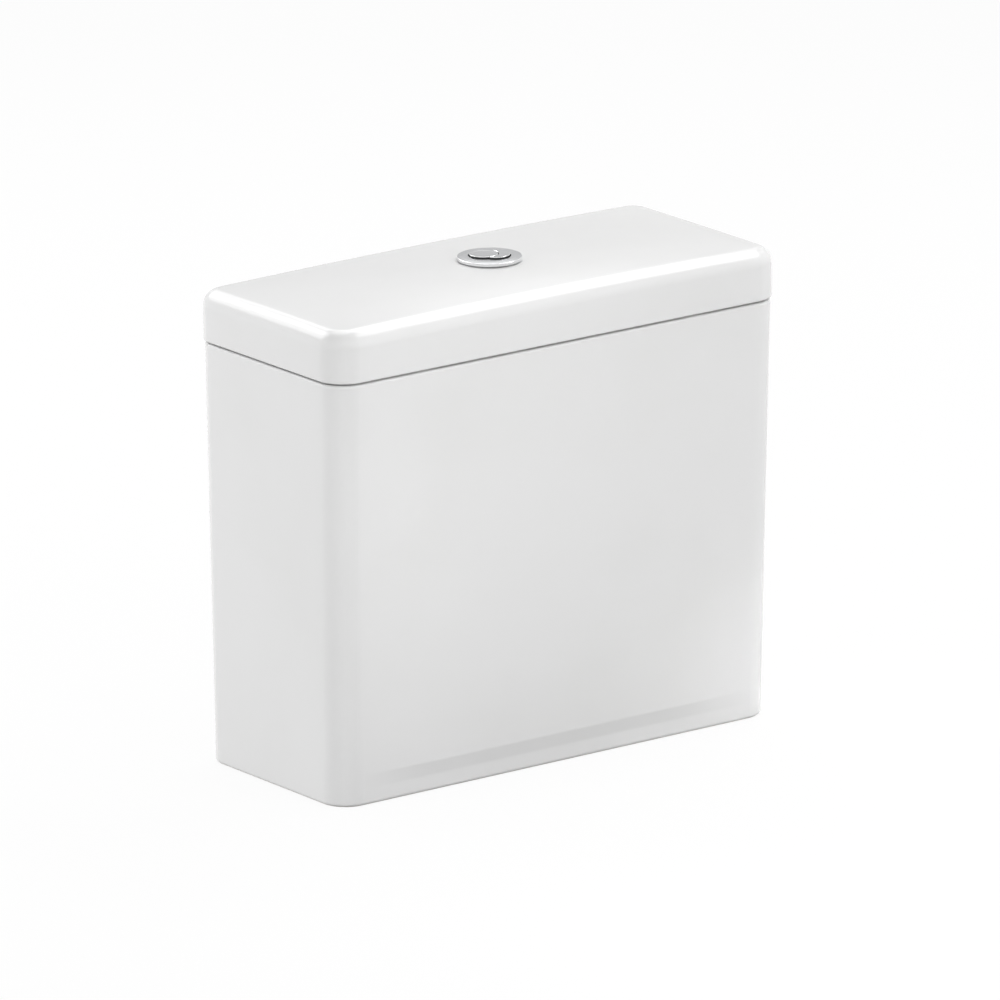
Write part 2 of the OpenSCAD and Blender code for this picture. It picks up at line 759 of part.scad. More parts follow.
// Valve base: threaded outlet, flange, seat, tower legs and the half-flush standpipe with its duct
module flush_valve_base() {
    legs = 4;
    leg_turn = 45;
    color("whitesmoke") difference() {
        union() {
            translate([0, 0, shank_end_z]) cylinder(r = shank_r, h = flange_z - shank_end_z + over);
            translate([0, 0, flange_z]) cylinder(r = flange_r, h = flange_t);
            translate([0, 0, flange_z]) cylinder(r = outlet_r + seat_wall, h = flange_t + seat_h);
            for (i = [0:legs - 1])
                rotate([0, 0, leg_turn + 360 * i / legs])
                    block([tower_r, -leg_w / 2, flange_z], [tower_ring_r, leg_w / 2, tower_z]);
            block([pipe_x, pipe_y - duct_r, flange_z], [-outlet_r - seat_wall, pipe_y + duct_r, seat_foot_z]);
            translate([pipe_x, pipe_y, flange_z]) cylinder(r = pipe_r, h = flange_t + pipe_h);
            translate([pipe_x, pipe_y, duct_z]) rotate([0, 90, 0])
                cylinder(r = duct_r, h = -outlet_r / 2 - pipe_x);
        }
        translate([0, 0, shank_end_z - over]) cylinder(r = outlet_r, h = seat_z - shank_end_z + 2 * over);
        translate([pipe_x, pipe_y, seat_foot_z]) cylinder(r = pipe_r - pipe_wall, h = pipe_h + over);
        translate([pipe_x, pipe_y, duct_z]) rotate([0, 90, 0])
            cylinder(r = duct_r - duct_wall, h = -pipe_x);
    }
}

// Soft ring between the valve's flange and the tank's floor
module base_seal() {
    color("darkslategray") translate([0, 0, floor_z])
        ring(flange_r - seal_set, shank_r + fit_gap, base_seal_t);
}

// Six-sided nut that clamps the valve under the tank
module back_nut() {
    color("whitesmoke") translate([0, 0, foot_depth - back_nut_h]) difference() {
        cylinder(r = back_nut_r, h = back_nut_h, $fn = 6);
        translate([0, 0, -over]) cylinder(r = shank_r + fit_gap, h = back_nut_h + 2 * over);
    }
}

// Soft gasket round the back nut that seals the outlet to the pan
module coupling_gasket() {
    gasket_r = back_nut_r + rest_gap + coupling_w;
    gasket_h = foot_depth - coupling_end_z;
    color("dimgray") translate([0, 0, coupling_end_z]) difference() {
        union() {
            cylinder(r1 = gasket_r - coupling_bevel, r2 = gasket_r, h = coupling_bevel);
            translate([0, 0, coupling_bevel]) cylinder(r = gasket_r, h = gasket_h - coupling_bevel);
        }
        translate([0, 0, -over]) cylinder(r = back_nut_r + rest_gap, h = gasket_h + 2 * over);
    }
}

// Tower on the base's legs, with flow windows and a guide for the stem in its top
module valve_tower() {
    windows = 4;
    color("whitesmoke") translate([0, 0, tower_z]) difference() {
        union() {
            cylinder(r = tower_ring_r, h = tower_ring_h);
            cylinder(r = tower_r + tower_wall, h = tower_h);
        }
        translate([0, 0, -over]) cylinder(r = tower_r, h = tower_h - tower_top + over);
        translate([0, 0, tower_h - tower_top - over])
            cylinder(r = tube_r + slide_gap, h = tower_top + 2 * over);
        for (i = [0:windows - 1])
            rotate([0, 0, 360 * i / windows])
                block(
                    [tower_r - over, -window_w / 2, (tower_h - window_h) / 2],
                    [tower_ring_r + over, window_w / 2, (tower_h + window_h) / 2]
                );
    }
}

// Bridge on the tower: foot, two side plates, cross bars and the web between the levers
module actuator_bridge() {
    top_z = pivot_z + plate_rise;
    mid_y = plate_y + plate_t / 2;
    color("lightsteelblue") difference() {
        union() {
            translate([0, 0, tower_top_z]) ring(tower_r + tower_wall, tube_r + slide_gap, bridge_foot_t);
            for (side = [-1, 1])
                translate([0, side * mid_y, 0])
                    block([-plate_x, -plate_t / 2, tower_top_z], [plate_x, plate_t / 2, top_z]);
            for (side = [-1, 1])
                translate([side * (plate_x - bar_t / 2), 0, 0])
                    block([-bar_t / 2, -mid_y, bar_z], [bar_t / 2, mid_y, bar_z + bar_t]);
            block([-plate_x, -web_y, bar_z], [plate_x, web_y, top_z]);
        }
        lever_pin(1, fit_gap);
        lever_pin(-1, fit_gap);
    }
}

// Overflow tube with the bell at its foot
module overflow_stem() {
    color("gainsboro") translate([0, 0, bell_z]) difference() {
        union() {
            cylinder(r = bell_r, h = bell_t);
            cylinder(r = tube_r, h = overflow_z - bell_z);
        }
        translate([0, 0, -over]) cylinder(r = tube_r - tube_wall, h = overflow_z - bell_z + 2 * over);
    }
}

// Soft ring under the bell that closes the seat
module bell_seal() {
    color("firebrick") translate([0, 0, bell_z - bell_seal_t]) ring(bell_r - seal_set, tube_r, bell_seal_t);
}

// Closed float round the stem, standing on the bell
module bell_float() {
    color("white") translate([0, 0, bell_z + bell_t]) ring(bell_float_r, tube_r + fit_gap, bell_float_h);
}

// Upright bar with a hook over a lever's end, standing at x, between two levels
module lifter(x, inward, low_z) {
    hook_end = x + inward * (upright_t / 2 + slide_gap + hook_reach);
    block([x - upright_t / 2, -hook_half, low_z], [x + upright_t / 2, hook_half, hook_z + hook_t]);
    block([min(x, hook_end), -hook_half, hook_z], [max(x, hook_end), hook_half, hook_z + hook_t]);
}

// Crosshead clamped to the stem, with the hook that the full-flush lever lifts
module lift_crosshead() {
    color("lightsteelblue") difference() {
        union() {
            translate([0, 0, clamp_z]) cylinder(r = clamp_r, h = clamp_h);
            translate([0, rod_y, 0]) lifter(hook_bar_x, -1, clamp_z);
            block([0, rod_y - hook_half, clamp_z], [hook_bar_x, rod_y + hook_half, clamp_z + hook_t]);
        }
        translate([0, 0, clamp_z - over]) cylinder(r = tube_r + fit_gap, h = clamp_h + 2 * over);
    }
}

// Rocker lever: the pad under a push rod, the hub on its pin and the lifting arm, side is its pin's side
module rocker(side, reach) {
    ends = [-side * (pad_arm + pad_over), side * reach];
    hub_out = plate_y - rod_y - rest_gap;
    hub = [-side * lever_w / 2, side * hub_out];
    translate([side * pivot_x, side * rod_y, pivot_z]) difference() {
        union() {
            block([min(ends), -lever_w / 2, -lever_t / 2], [max(ends), lever_w / 2, lever_t / 2]);
            cross_cylinder(hub_r, min(hub), max(hub));
        }
        cross_cylinder(pin_r + run_gap, -hub_out - over, hub_out + over);
    }
}

// Lever under the full-flush rod
module full_flush_lever() {
    color("white") rocker(1, full_reach);
}

// Lever under the half-flush rod
module half_flush_lever() {
    color("lightskyblue") rocker(-1, half_reach);
}

// Pin of one lever, from the web out through a side plate, grown by a gap to cut its hole
module lever_pin(side, gap) {
    ends = [-side * (web_y + gap), side * (pin_end_y + gap)];
    translate([side * pivot_x, 0, pivot_z]) cross_cylinder(pin_r + gap, min(ends), max(ends));
}

// Pin of the full-flush lever
module full_lever_pin() {
    color("silver") lever_pin(1, 0);
}

// Pin of the half-flush lever
module half_lever_pin() {
    color("silver") lever_pin(-1, 0);
}

// Link from the half-flush lever down to its plunger
module half_flush_link() {
    color("lightskyblue") translate([0, pipe_y, 0]) lifter(pipe_x, 1, plunger_z + plunger_t);
}

// Plunger on the standpipe, with crossed guide fins in the pipe
module half_flush_plunger() {
    fin_r = pipe_r - pipe_wall - slide_gap;
    foot_z = plunger_z - fin_h;
    top_z = plunger_z + plunger_t / 2;
    color("lightskyblue") translate([pipe_x, pipe_y, 0]) {
        translate([0, 0, plunger_z]) cylinder(r = pipe_r + plunger_over, h = plunger_t);
        intersection() {
            translate([0, 0, foot_z]) cylinder(r = fin_r, h = top_z - foot_z);
            union() {
                block([-pipe_r, -fin_t / 2, foot_z], [pipe_r, fin_t / 2, top_z]);
                block([-fin_t / 2, -pipe_r, foot_z], [fin_t / 2, pipe_r, top_z]);
            }
        }
    }
}

// Soft ring under the plunger
module plunger_seal() {
    color("firebrick") translate([pipe_x, pipe_y, plunger_z - plunger_seal_t])
        ring(pipe_r + plunger_over / 2, pipe_r - pipe_wall, plunger_seal_t);
}

// Fill valve body: inlet thread, shank, flange and riser, bored through
module inlet_riser() {
    color("whitesmoke") translate([fill_x, 0, 0]) difference() {
        union() {
            translate([0, 0, inlet_end_z]) cylinder(r = inlet_r, h = inlet_l);
            translate([0, 0, inlet_thread_z])
                cylinder(r = inlet_shank_r, h = inlet_flange_z - inlet_thread_z + over);
            translate([0, 0, inlet_flange_z]) cylinder(r = inlet_flange_r, h = inlet_flange_t);
            translate([0, 0, inlet_flange_z]) cylinder(r = riser_r, h = inlet_flange_t + riser_h);
        }
        translate([0, 0, inlet_end_z - over])
            cylinder(r = inlet_bore_r, h = head_z - inlet_end_z + 2 * over);
    }
}

// Soft washer under the inlet flange
module inlet_washer() {
    color("darkslategray") translate([fill_x, 0, floor_z])
        ring(inlet_flange_r - seal_set, inlet_r + fit_gap, inlet_washer_t);
}

// Six-sided nut that clamps the fill valve under the tank
module inlet_lock_nut() {
    color("whitesmoke") translate([fill_x, 0, foot_depth - lock_nut_h]) difference() {
        cylinder(r = lock_nut_r, h = lock_nut_h, $fn = 6);
        translate([0, 0, -over]) cylinder(r = inlet_shank_r + fit_gap, h = lock_nut_h + 2 * over);
    }
}

// Strainer basket pushed into the inlet, closed at its inner end
module inlet_filter() {
    filter_r = inlet_bore_r - fit_gap;
    color("palegreen") translate([fill_x, 0, inlet_end_z]) difference() {
        cylinder(r = filter_r, h = filter_l);
        translate([0, 0, -over]) cylinder(r = filter_r - filter_wall, h = filter_l - filter_wall + over);
    }
}

// Valve head on the riser, with the diaphragm's chamber and the spout to the silencer tube
module fill_valve_head() {
    spout_r = silencer_r + spout_wall;
    color("lightsteelblue") translate([fill_x, 0, 0]) difference() {
        union() {
            translate([0, 0, head_z]) cylinder(r = head_r, h = head_h);
            block([-spout_r, 0, spout_z], [spout_r, silencer_y + spout_r, spout_z + spout_h]);
        }
        translate([0, 0, chamber_z]) cylinder(r = diaphragm_r + slide_gap, h = cap_z - chamber_z + over);
        translate([0, silencer_y, spout_z - over])
            cylinder(r = silencer_r - silencer_wall, h = spout_h / 2 + over);
    }
}

// Soft diaphragm in the head
module valve_diaphragm() {
    color("darkslategray") translate([fill_x, 0, chamber_z]) cylinder(r = diaphragm_r, h = diaphragm_t);
}

// Screwed cap with the plug over the diaphragm and the ears of the float lever
module fill_valve_cap() {
    ear_x = float_hub_r + ear_over;
    color("whitesmoke") translate([fill_x, 0, 0]) difference() {
        union() {
            translate([0, 0, cap_z]) cylinder(r = head_r, h = cap_h);
            translate([0, 0, cap_z - plug_h + rest_gap]) cylinder(r = diaphragm_r, h = plug_h + over);
            for (side = [-1, 1])
                translate([float_pin_x, side * (ear_y + ear_t / 2), 0])
                    block([-ear_x, -ear_t / 2, cap_z], [ear_x, ear_t / 2, float_pin_z + float_hub_r]);
        }
        translate([float_pin_x, 0, float_pin_z])
            cross_cylinder(float_pin_r + fit_gap, -float_pin_end_y, float_pin_end_y);
    }
}

// Lever that the float's rod lifts, slotted for the rod
module float_lever() {
    slot_in = float_arm - adjust_r - slide_gap - rest_gap;
    slot_out =
        (float_arm + adjust_r + slide_gap) / cos(float_swing) + float_lever_t / 2 * tan(float_swing);
    slot_half = adjust_r + slide_gap;
    color("lightsteelblue") translate([fill_x + float_pin_x, 0, float_pin_z]) difference() {
        union() {
            block(
                [-slot_out - slot_end, -float_lever_w / 2, -float_lever_t / 2],
                [0, float_lever_w / 2, float_lever_t / 2]
            );
            cross_cylinder(float_hub_r, -float_lever_w / 2, float_lever_w / 2);
        }
        cross_cylinder(float_pin_r + run_gap, -float_lever_w, float_lever_w);
        block([-slot_out, -slot_half, -float_lever_t], [-slot_in, slot_half, float_lever_t]);
    }
}

// Pin of the float lever
module float_lever_pin() {
    color("silver") translate([fill_x + float_pin_x, 0, float_pin_z])
        cross_cylinder(float_pin_r, -float_pin_end_y, float_pin_end_y);
}

// Inverted cup that slides on the riser
module float_cup() {
    guide_r = riser_r + slide_gap;
    color("white") translate([fill_x, 0, float_z]) difference() {
        cylinder(r = float_r, h = float_h);
        translate([0, 0, -over])
            ring(float_r - float_wall, guide_r + float_wall, float_h - float_wall + over);
        translate([0, 0, -over]) cylinder(r = guide_r, h = float_h + 2 * over);
    }
}

// Rod from the float to its lever, with a round stop on each side of the lever
module float_adjust_rod() {
    stop_off = float_lever_t / 2 + stop_r + 2 * rest_gap;
    color("palegreen") translate([adjust_x, 0, 0]) {
        translate([0, 0, float_top_z]) cylinder(r = adjust_r, h = float_pin_z + stop_off - float_top_z);
        for (side = [-1, 1])
            translate([0, 0, float_pin_z + side * stop_off]) sphere(r = stop_r);
    }
}

// Tube that takes the filling water down to the floor quietly
module silencer_tube() {
    tube_z = floor_z + silencer_end;
    color("gainsboro") translate([fill_x, silencer_y, tube_z])
        ring(silencer_r, silencer_r - silencer_wall, spout_z - tube_z);
}

cistern_tank();
lid_buffers();
cistern_lid();
button_gasket();
button_bezel();
button_sleeve();
sleeve_nut();
full_flush_button();
half_flush_button();
full_flush_rod();
half_flush_rod();
full_button_spring();
half_button_spring();
flush_valve_base();
base_seal();
back_nut();
coupling_gasket();
valve_tower();
actuator_bridge();
overflow_stem();
bell_seal();
bell_float();
lift_crosshead();
full_flush_lever();
half_flush_lever();
full_lever_pin();
half_lever_pin();
half_flush_link();
half_flush_plunger();
plunger_seal();
inlet_riser();
inlet_washer();
inlet_lock_nut();
inlet_filter();
fill_valve_head();
valve_diaphragm();
fill_valve_cap();
float_lever();
float_lever_pin();
float_cup();
float_adjust_rod();
silencer_tube();
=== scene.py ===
"""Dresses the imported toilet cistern: glazed shells, chrome buttons, moulded valve gear and a pale studio."""

import logging
import math
from dataclasses import dataclass
from enum import Enum
from typing import Any, Callable, Optional, Sequence, Union

import bmesh
import bpy
from mathutils import Matrix, Vector


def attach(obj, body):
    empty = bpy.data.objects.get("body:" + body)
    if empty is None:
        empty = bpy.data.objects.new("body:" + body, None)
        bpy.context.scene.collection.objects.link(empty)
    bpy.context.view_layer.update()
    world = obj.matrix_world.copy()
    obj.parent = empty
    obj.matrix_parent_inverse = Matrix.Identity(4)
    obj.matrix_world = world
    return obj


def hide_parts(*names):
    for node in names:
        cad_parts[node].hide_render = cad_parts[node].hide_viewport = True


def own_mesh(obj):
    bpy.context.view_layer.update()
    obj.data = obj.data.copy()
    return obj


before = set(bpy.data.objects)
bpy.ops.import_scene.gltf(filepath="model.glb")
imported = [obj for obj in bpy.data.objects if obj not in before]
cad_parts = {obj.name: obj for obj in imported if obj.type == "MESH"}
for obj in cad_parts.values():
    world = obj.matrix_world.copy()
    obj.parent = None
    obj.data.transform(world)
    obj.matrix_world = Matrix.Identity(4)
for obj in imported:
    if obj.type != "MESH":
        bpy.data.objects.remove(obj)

LOG = logging.getLogger("cistern")
MM = 0.001
# A face counts as level where the upright part of its normal is more than this
FLAT = 0.9995
# Heights nearer than this count as one, and the second is for the small steps of the button set
NEAR = 0.1 * MM
CLOSE = 0.02 * MM
# An edge that climbs more than this is an upright corner of a block
UPRIGHT = 20 * MM
Colour = tuple[float, float, float, float]
Point = tuple[float, float, float]
# A test on a face's middle and normal, or on the two ends of an edge
Test = Callable[[Vector, Vector], bool]


def mm(*values: float) -> Vector:
    """Returns a place given in millimetres as a vector in metres."""
    return Vector(values) * MM


def ease(share: float) -> float:
    """Returns a share from 0 to 1, softened at both ends."""
    held = min(max(share, 0.0), 1.0)
    return held * held * (3 - 2 * held)


def above(height: float) -> Test:
    """Returns a test for edges above a height."""
    return lambda a, b: min(a.z, b.z) > height


def below(height: float) -> Test:
    """Returns a test for edges below a height."""
    return lambda a, b: max(a.z, b.z) < height


def level_above(height: float) -> Test:
    """Returns a test for level faces above a height that look up."""
    return lambda centre, normal: normal.z > FLAT and centre.z > height


def level_below(height: float) -> Test:
    """Returns a test for level faces below a height that look down."""
    return lambda centre, normal: normal.z < -FLAT and centre.z < height


class Wire:
    """An output socket of a material's nodes, with arithmetic that adds Math nodes."""

    def __init__(self, graph: "Graph", socket: Optional[bpy.types.NodeSocket]) -> None:
        """Wraps a socket.

        Args:
            graph: The graph that the socket belongs to.
            socket: The output socket, or nothing for a node that only takes links.
        """
        self.graph = graph
        self.socket = socket

    def maths(self, operation: str, *values: "Value") -> "Wire":
        """Adds a Math node.

        Args:
            operation: The node's operation.
            values: Its inputs in order.

        Returns:
            The node's result.
        """
        return self.graph.node("ShaderNodeMath", {"operation": operation}, dict(enumerate(values)))

    def __add__(self, other: "Value") -> "Wire":
        """Returns the sum."""
        return self.maths("ADD", self, other)

    def __radd__(self, other: "Value") -> "Wire":
        """Returns the sum, the number first."""
        return self.maths("ADD", other, self)

    def __sub__(self, other: "Value") -> "Wire":
        """Returns the difference."""
        return self.maths("SUBTRACT", self, other)

    def __rsub__(self, other: "Value") -> "Wire":
        """Returns the difference, the number first."""
        return self.maths("SUBTRACT", other, self)

    def __mul__(self, other: "Value") -> "Wire":
        """Returns the product."""
        return self.maths("MULTIPLY", self, other)

    def __rmul__(self, other: "Value") -> "Wire":
        """Returns the product, the number first."""
        return self.maths("MULTIPLY", other, self)

    def __or__(self, other: "Value") -> "Wire":
        """Returns the larger of the two."""
        return self.maths("MAXIMUM", self, other)

    def ramp(self, low: float, high: float) -> "Wire":
        """Returns 0 up to low, 1 from high on, and a smooth rise between them."""
        settings = {"interpolation_type": "SMOOTHSTEP"}
        return self.graph.node("ShaderNodeMapRange", settings, {"Value": self, "From Min": low, "From Max": high})


Value = Union[float, Sequence[float], Wire]


class Graph:
    """The nodes of one material or world."""

    def __init__(self, tree: bpy.types.NodeTree) -> None:
        """Empties a node tree to draw in.

        Args:
            tree: The tree of a material or a world.
        """
        self.tree = tree
        self.tree.nodes.clear()

    def node(
        self,
        kind: str,
        settings: Optional[dict[str, Any]] = None,
        sockets: Optional[dict[Union[str, int], Value]] = None,
        output: Union[str, int] = 0,
    ) -> Wire:
        """Adds any node.

        Args:
            kind: The node's type.
            settings: Its settings, which are set first.
            sockets: The values or links of its inputs, by name or place.
            output: The output to hand back.

        Returns:
            That output.
        """
        made = self.tree.nodes.new(kind)
        for name, value in (settings or {}).items():
            setattr(made, name, value)
        for key, value in (sockets or {}).items():
            if isinstance(value, Wire):
                self.tree.links.new(value.socket, made.inputs[key])
            else:
                made.inputs[key].default_value = value
        return Wire(self, made.outputs[output] if made.outputs else None)

    def place(self) -> Wire:
        """Returns the Object coordinates."""
        return self.node("ShaderNodeTexCoord", output="Object")

    def height(self) -> Wire:
        """Returns the height above the foot plane."""
        return self.node("ShaderNodeSeparateXYZ", {}, {0: self.place()}, "Z")

    def noise(self, scale: float, detail: float = 2.0, stretch: Point = (1.0, 1.0, 1.0)) -> Wire:
        """Adds a noise on Object coordinates.

        Args:
            scale: Lumps to the metre.
            detail: Octaves of finer lumps.
            stretch: Scale along each axis.

        Returns:
            The noise, from 0 to 1.
        """
        at = self.node("ShaderNodeMapping", {}, {"Vector": self.place(), "Scale": stretch})
        return self.node("ShaderNodeTexNoise", {}, {"Vector": at, "Scale": scale, "Detail": detail}, "Fac")

    def blend(self, share: Value, first: Value, second: Value) -> Wire:
        """Mixes two colours.

        Args:
            share: How much of the second one.
            first: Colour at 0.
            second: Colour at 1.

        Returns:
            The mixed colour.
        """
        return self.node("ShaderNodeMix", {"data_type": "RGBA"}, {0: share, 6: first, 7: second}, 2)

    def bump(self, height: Value, distance: float, strength: float = 1.0) -> Wire:
        """Returns a normal raised by a height of 0 to 1 over a distance in metres."""
        return self.node("ShaderNodeBump", {}, {"Height": height, "Distance": distance, "Strength": strength})

    def surface(self, shader: Wire) -> None:
        """Links a shader to the material's output."""
        self.node("ShaderNodeOutputMaterial", {}, {"Surface": shader})

    @classmethod
    def material(cls, name: str) -> tuple["Graph", bpy.types.Material]:
        """Makes a material with an empty graph.

        Args:
            name: The material's name.

        Returns:
            The graph and the material.
        """
        made = bpy.data.materials.new(name)
        made.use_nodes = True
        return cls(made.node_tree), made


@dataclass(frozen=True)
class Finish:
    """A finish: its material's name, its slot in the record and how its shader is fed."""

    name: str
    slot: str

    def sockets(self, graph: Graph) -> dict[str, Value]:
        """Returns the inputs of the finish's shader, which each finish draws."""
        raise NotImplementedError

    def material(self) -> bpy.types.Material:
        """Makes the finish's material.

        Returns:
            The material.
        """
        graph, made = Graph.material(self.name)
        graph.surface(graph.node("ShaderNodeBsdfPrincipled", {}, self.sockets(graph)))
        return made


@dataclass(frozen=True)
class WhiteGlaze(Finish):
    """Fired white glaze: glossy, a little wavy, with a bare clay foot."""

    name: str = "white_glaze"
    slot: str = "glaze"
    colour: Colour = (0.80, 0.80, 0.80, 1)
    thin: Colour = (0.775, 0.775, 0.772, 1)
    clay: Colour = (0.62, 0.59, 0.54, 1)
    gloss: float = 0.13
    bare_to: float = 1.6 * MM
    wave: float = 0.25 * MM
    # Lumps to the metre
    clouds: float = 7.0
    ripples: float = 26.0
    mottles: float = 160.0
    grains: float = 900.0

    def sockets(self, graph: Graph) -> dict[str, Value]:
        """Draws the glaze.

        Args:
            graph: The material's nodes.

        Returns:
            The shader's inputs.
        """
        bare = 1.0 - graph.height().ramp(0.4 * self.bare_to, self.bare_to)
        cloud = graph.noise(self.clouds, 3.0)
        colour = graph.blend(cloud.ramp(0.35, 0.75), self.colour, self.thin)
        relief = graph.noise(self.ripples, 1.0) * (1.0 - bare) + graph.noise(self.grains) * bare * 0.3
        return {
            "Base Color": graph.blend(bare, colour, self.clay),
            "Roughness": self.gloss + graph.noise(self.mottles, 3.0) * 0.03 + bare * 0.6,
            "IOR": 1.52,
            "Normal": graph.bump(relief, self.wave, 0.35),
        }


@dataclass(frozen=True)
class BareClay(Finish):
    """Unglazed fired clay under the foot."""

    name: str = "bare_clay"
    slot: str = "glaze"
    colour: Colour = (0.66, 0.635, 0.59, 1)
    speck: Colour = (0.56, 0.53, 0.48, 1)
    pits: float = 0.15 * MM
    # Lumps to the metre
    lumps: float = 60.0
    grains: float = 1400.0

    def sockets(self, graph: Graph) -> dict[str, Value]:
        """Draws the clay.

        Args:
            graph: The material's nodes.

        Returns:
            The shader's inputs.
        """
        lump, grain = graph.noise(self.lumps, 4.0), graph.noise(self.grains, 3.0)
        return {
            "Base Color": graph.blend(lump.ramp(0.4, 0.7), self.colour, self.speck),
            "Roughness": 0.78 + grain * 0.15,
            "Normal": graph.bump(grain + lump, self.pits, 0.6),
        }


@dataclass(frozen=True)
class Chrome(Finish):
    """Plating with faint wiping marks: bright on edges, satin on level tops, and painted shade on the walls of the
    gaps.
    """

    colour: Colour
    dull: Colour
    gloss: float
    # Marks to the metre, drawn out along the depth
    wipes: float = 220.0
    drawn_out: Point = (1.0, 0.25, 1.0)
    specks: float = 3000.0

    def sockets(self, graph: Graph) -> dict[str, Value]:
        """Draws the plating.

        Args:
            graph: The material's nodes.

        Returns:
            The shader's inputs.
        """
        wipe = graph.noise(self.wipes, 4.0, self.drawn_out)
        return {
            "Base Color": graph.blend(wipe.ramp(0.4, 0.8), self.colour, self.dull),
            "Metallic": 1.0,
            "Roughness": self.gloss + wipe * 0.05 + graph.noise(self.specks, 1.0) * 0.01,
        }


@dataclass(frozen=True)
class DrawnSteel(Finish):
    """Drawn stainless wire and pins."""

    name: str = "drawn_steel"
    slot: str = "steel"
    colour: Colour = (0.52, 0.53, 0.54, 1)
    dark: Colour = (0.36, 0.37, 0.38, 1)
    score: float = 0.03 * MM
    # Lines to the metre, drawn out along the depth
    lines: float = 2200.0
    drawn_out: Point = (1.0, 0.08, 1.0)

    def sockets(self, graph: Graph) -> dict[str, Value]:
        """Draws the steel.

        Args:
            graph: The material's nodes.

        Returns:
            The shader's inputs.
        """
        drawn = graph.noise(self.lines, 2.0, self.drawn_out)
        return {
            "Base Color": graph.blend(drawn, self.colour, self.dark),
            "Metallic": 1.0,
            "Roughness": 0.22 + drawn * 0.2,
            "Normal": graph.bump(drawn, self.score, 0.5),
        }


@dataclass(frozen=True)
class MouldedPlastic(Finish):
    """Injection-moulded plastic: satin skin, fine grain and slow shifts of tone."""

    colour: Colour
    shade: Colour
    gloss: float = 0.36
    skin: float = 0.05 * MM
    # Lumps to the metre, the flow drawn out upwards
    flows: float = 38.0
    drawn_out: Point = (1.0, 1.0, 0.35)
    grains: float = 1800.0

    def sockets(self, graph: Graph) -> dict[str, Value]:
        """Draws the plastic.

        Args:
            graph: The material's nodes.

        Returns:
            The shader's inputs.
        """
        flow, grain = graph.noise(self.flows, 3.0, self.drawn_out), graph.noise(self.grains)
        return {
            "Base Color": graph.blend(flow.ramp(0.3, 0.8), self.colour, self.shade),
            "Roughness": self.gloss + grain * 0.12 + flow * 0.06,
            "IOR": 1.5,
            "Normal": graph.bump(grain, self.skin, 0.4),
        }


@dataclass(frozen=True)
class SoftRubber(Finish):
    """Moulded rubber: dull, with a dusty bloom."""

    colour: Colour
    bloom: Colour
    skin: float = 0.06 * MM
    # Lumps to the metre
    dusts: float = 90.0
    grains: float = 2400.0

    def sockets(self, graph: Graph) -> dict[str, Value]:
        """Draws the rubber.

        Args:
            graph: The material's nodes.

        Returns:
            The shader's inputs.
        """
        dust, grain = graph.noise(self.dusts, 5.0), graph.noise(self.grains)
        return {
            "Base Color": graph.blend(dust.ramp(0.45, 0.85), self.colour, self.bloom),
            "Roughness": 0.6 + grain * 0.15 + dust * 0.12,
            "IOR": 1.45,
            "Normal": graph.bump(grain, self.skin, 0.6),
        }


class Palette(Enum):
    """The finishes of the cistern, one for each kind of piece."""

    GLAZE = WhiteGlaze()
    CLAY = BareClay()
    CHROME = Chrome("bright_chrome", "chrome", (0.84, 0.845, 0.85, 1), (0.8, 0.805, 0.81, 1), 0.06)
    SATIN = Chrome("satin_chrome", "chrome", (0.46, 0.465, 0.475, 1), (0.435, 0.44, 0.45, 1), 0.14)
    # Dark chrome for the walls of the gaps round the buttons: painted shade where the slits lie in shadow
    SHADED = Chrome("painted_shade_chrome", "chrome", (0.1, 0.102, 0.105, 1), (0.08, 0.082, 0.085, 1), 0.3)
    STEEL = DrawnSteel()
    WHITE = MouldedPlastic("white_moulding", "white_plastic", (0.76, 0.76, 0.745, 1), (0.71, 0.71, 0.69, 1))
    GREY = MouldedPlastic("grey_moulding", "grey_plastic", (0.36, 0.37, 0.38, 1), (0.31, 0.32, 0.33, 1))
    BLUE = MouldedPlastic("blue_moulding", "blue_plastic", (0.055, 0.21, 0.56, 1), (0.045, 0.17, 0.48, 1))
    SLATE = MouldedPlastic("slate_moulding", "slate_plastic", (0.15, 0.185, 0.25, 1), (0.125, 0.155, 0.21, 1))
    GREEN = MouldedPlastic("green_moulding", "green_plastic", (0.1, 0.38, 0.17, 1), (0.08, 0.31, 0.14, 1))
    BLACK = SoftRubber("black_rubber", "black_rubber", (0.012, 0.012, 0.013, 1), (0.03, 0.03, 0.03, 1))
    RED = SoftRubber("red_rubber", "red_rubber", (0.33, 0.028, 0.018, 1), (0.37, 0.07, 0.05, 1))
    CLEAR = SoftRubber("pale_rubber", "clear_rubber", (0.42, 0.42, 0.41, 1), (0.48, 0.48, 0.47, 1))

    @property
    def stuff(self) -> bpy.types.Material:
        """Returns the finish's one material, made when it is first asked for."""
        return bpy.data.materials.get(self.value.name) or self.value.material()


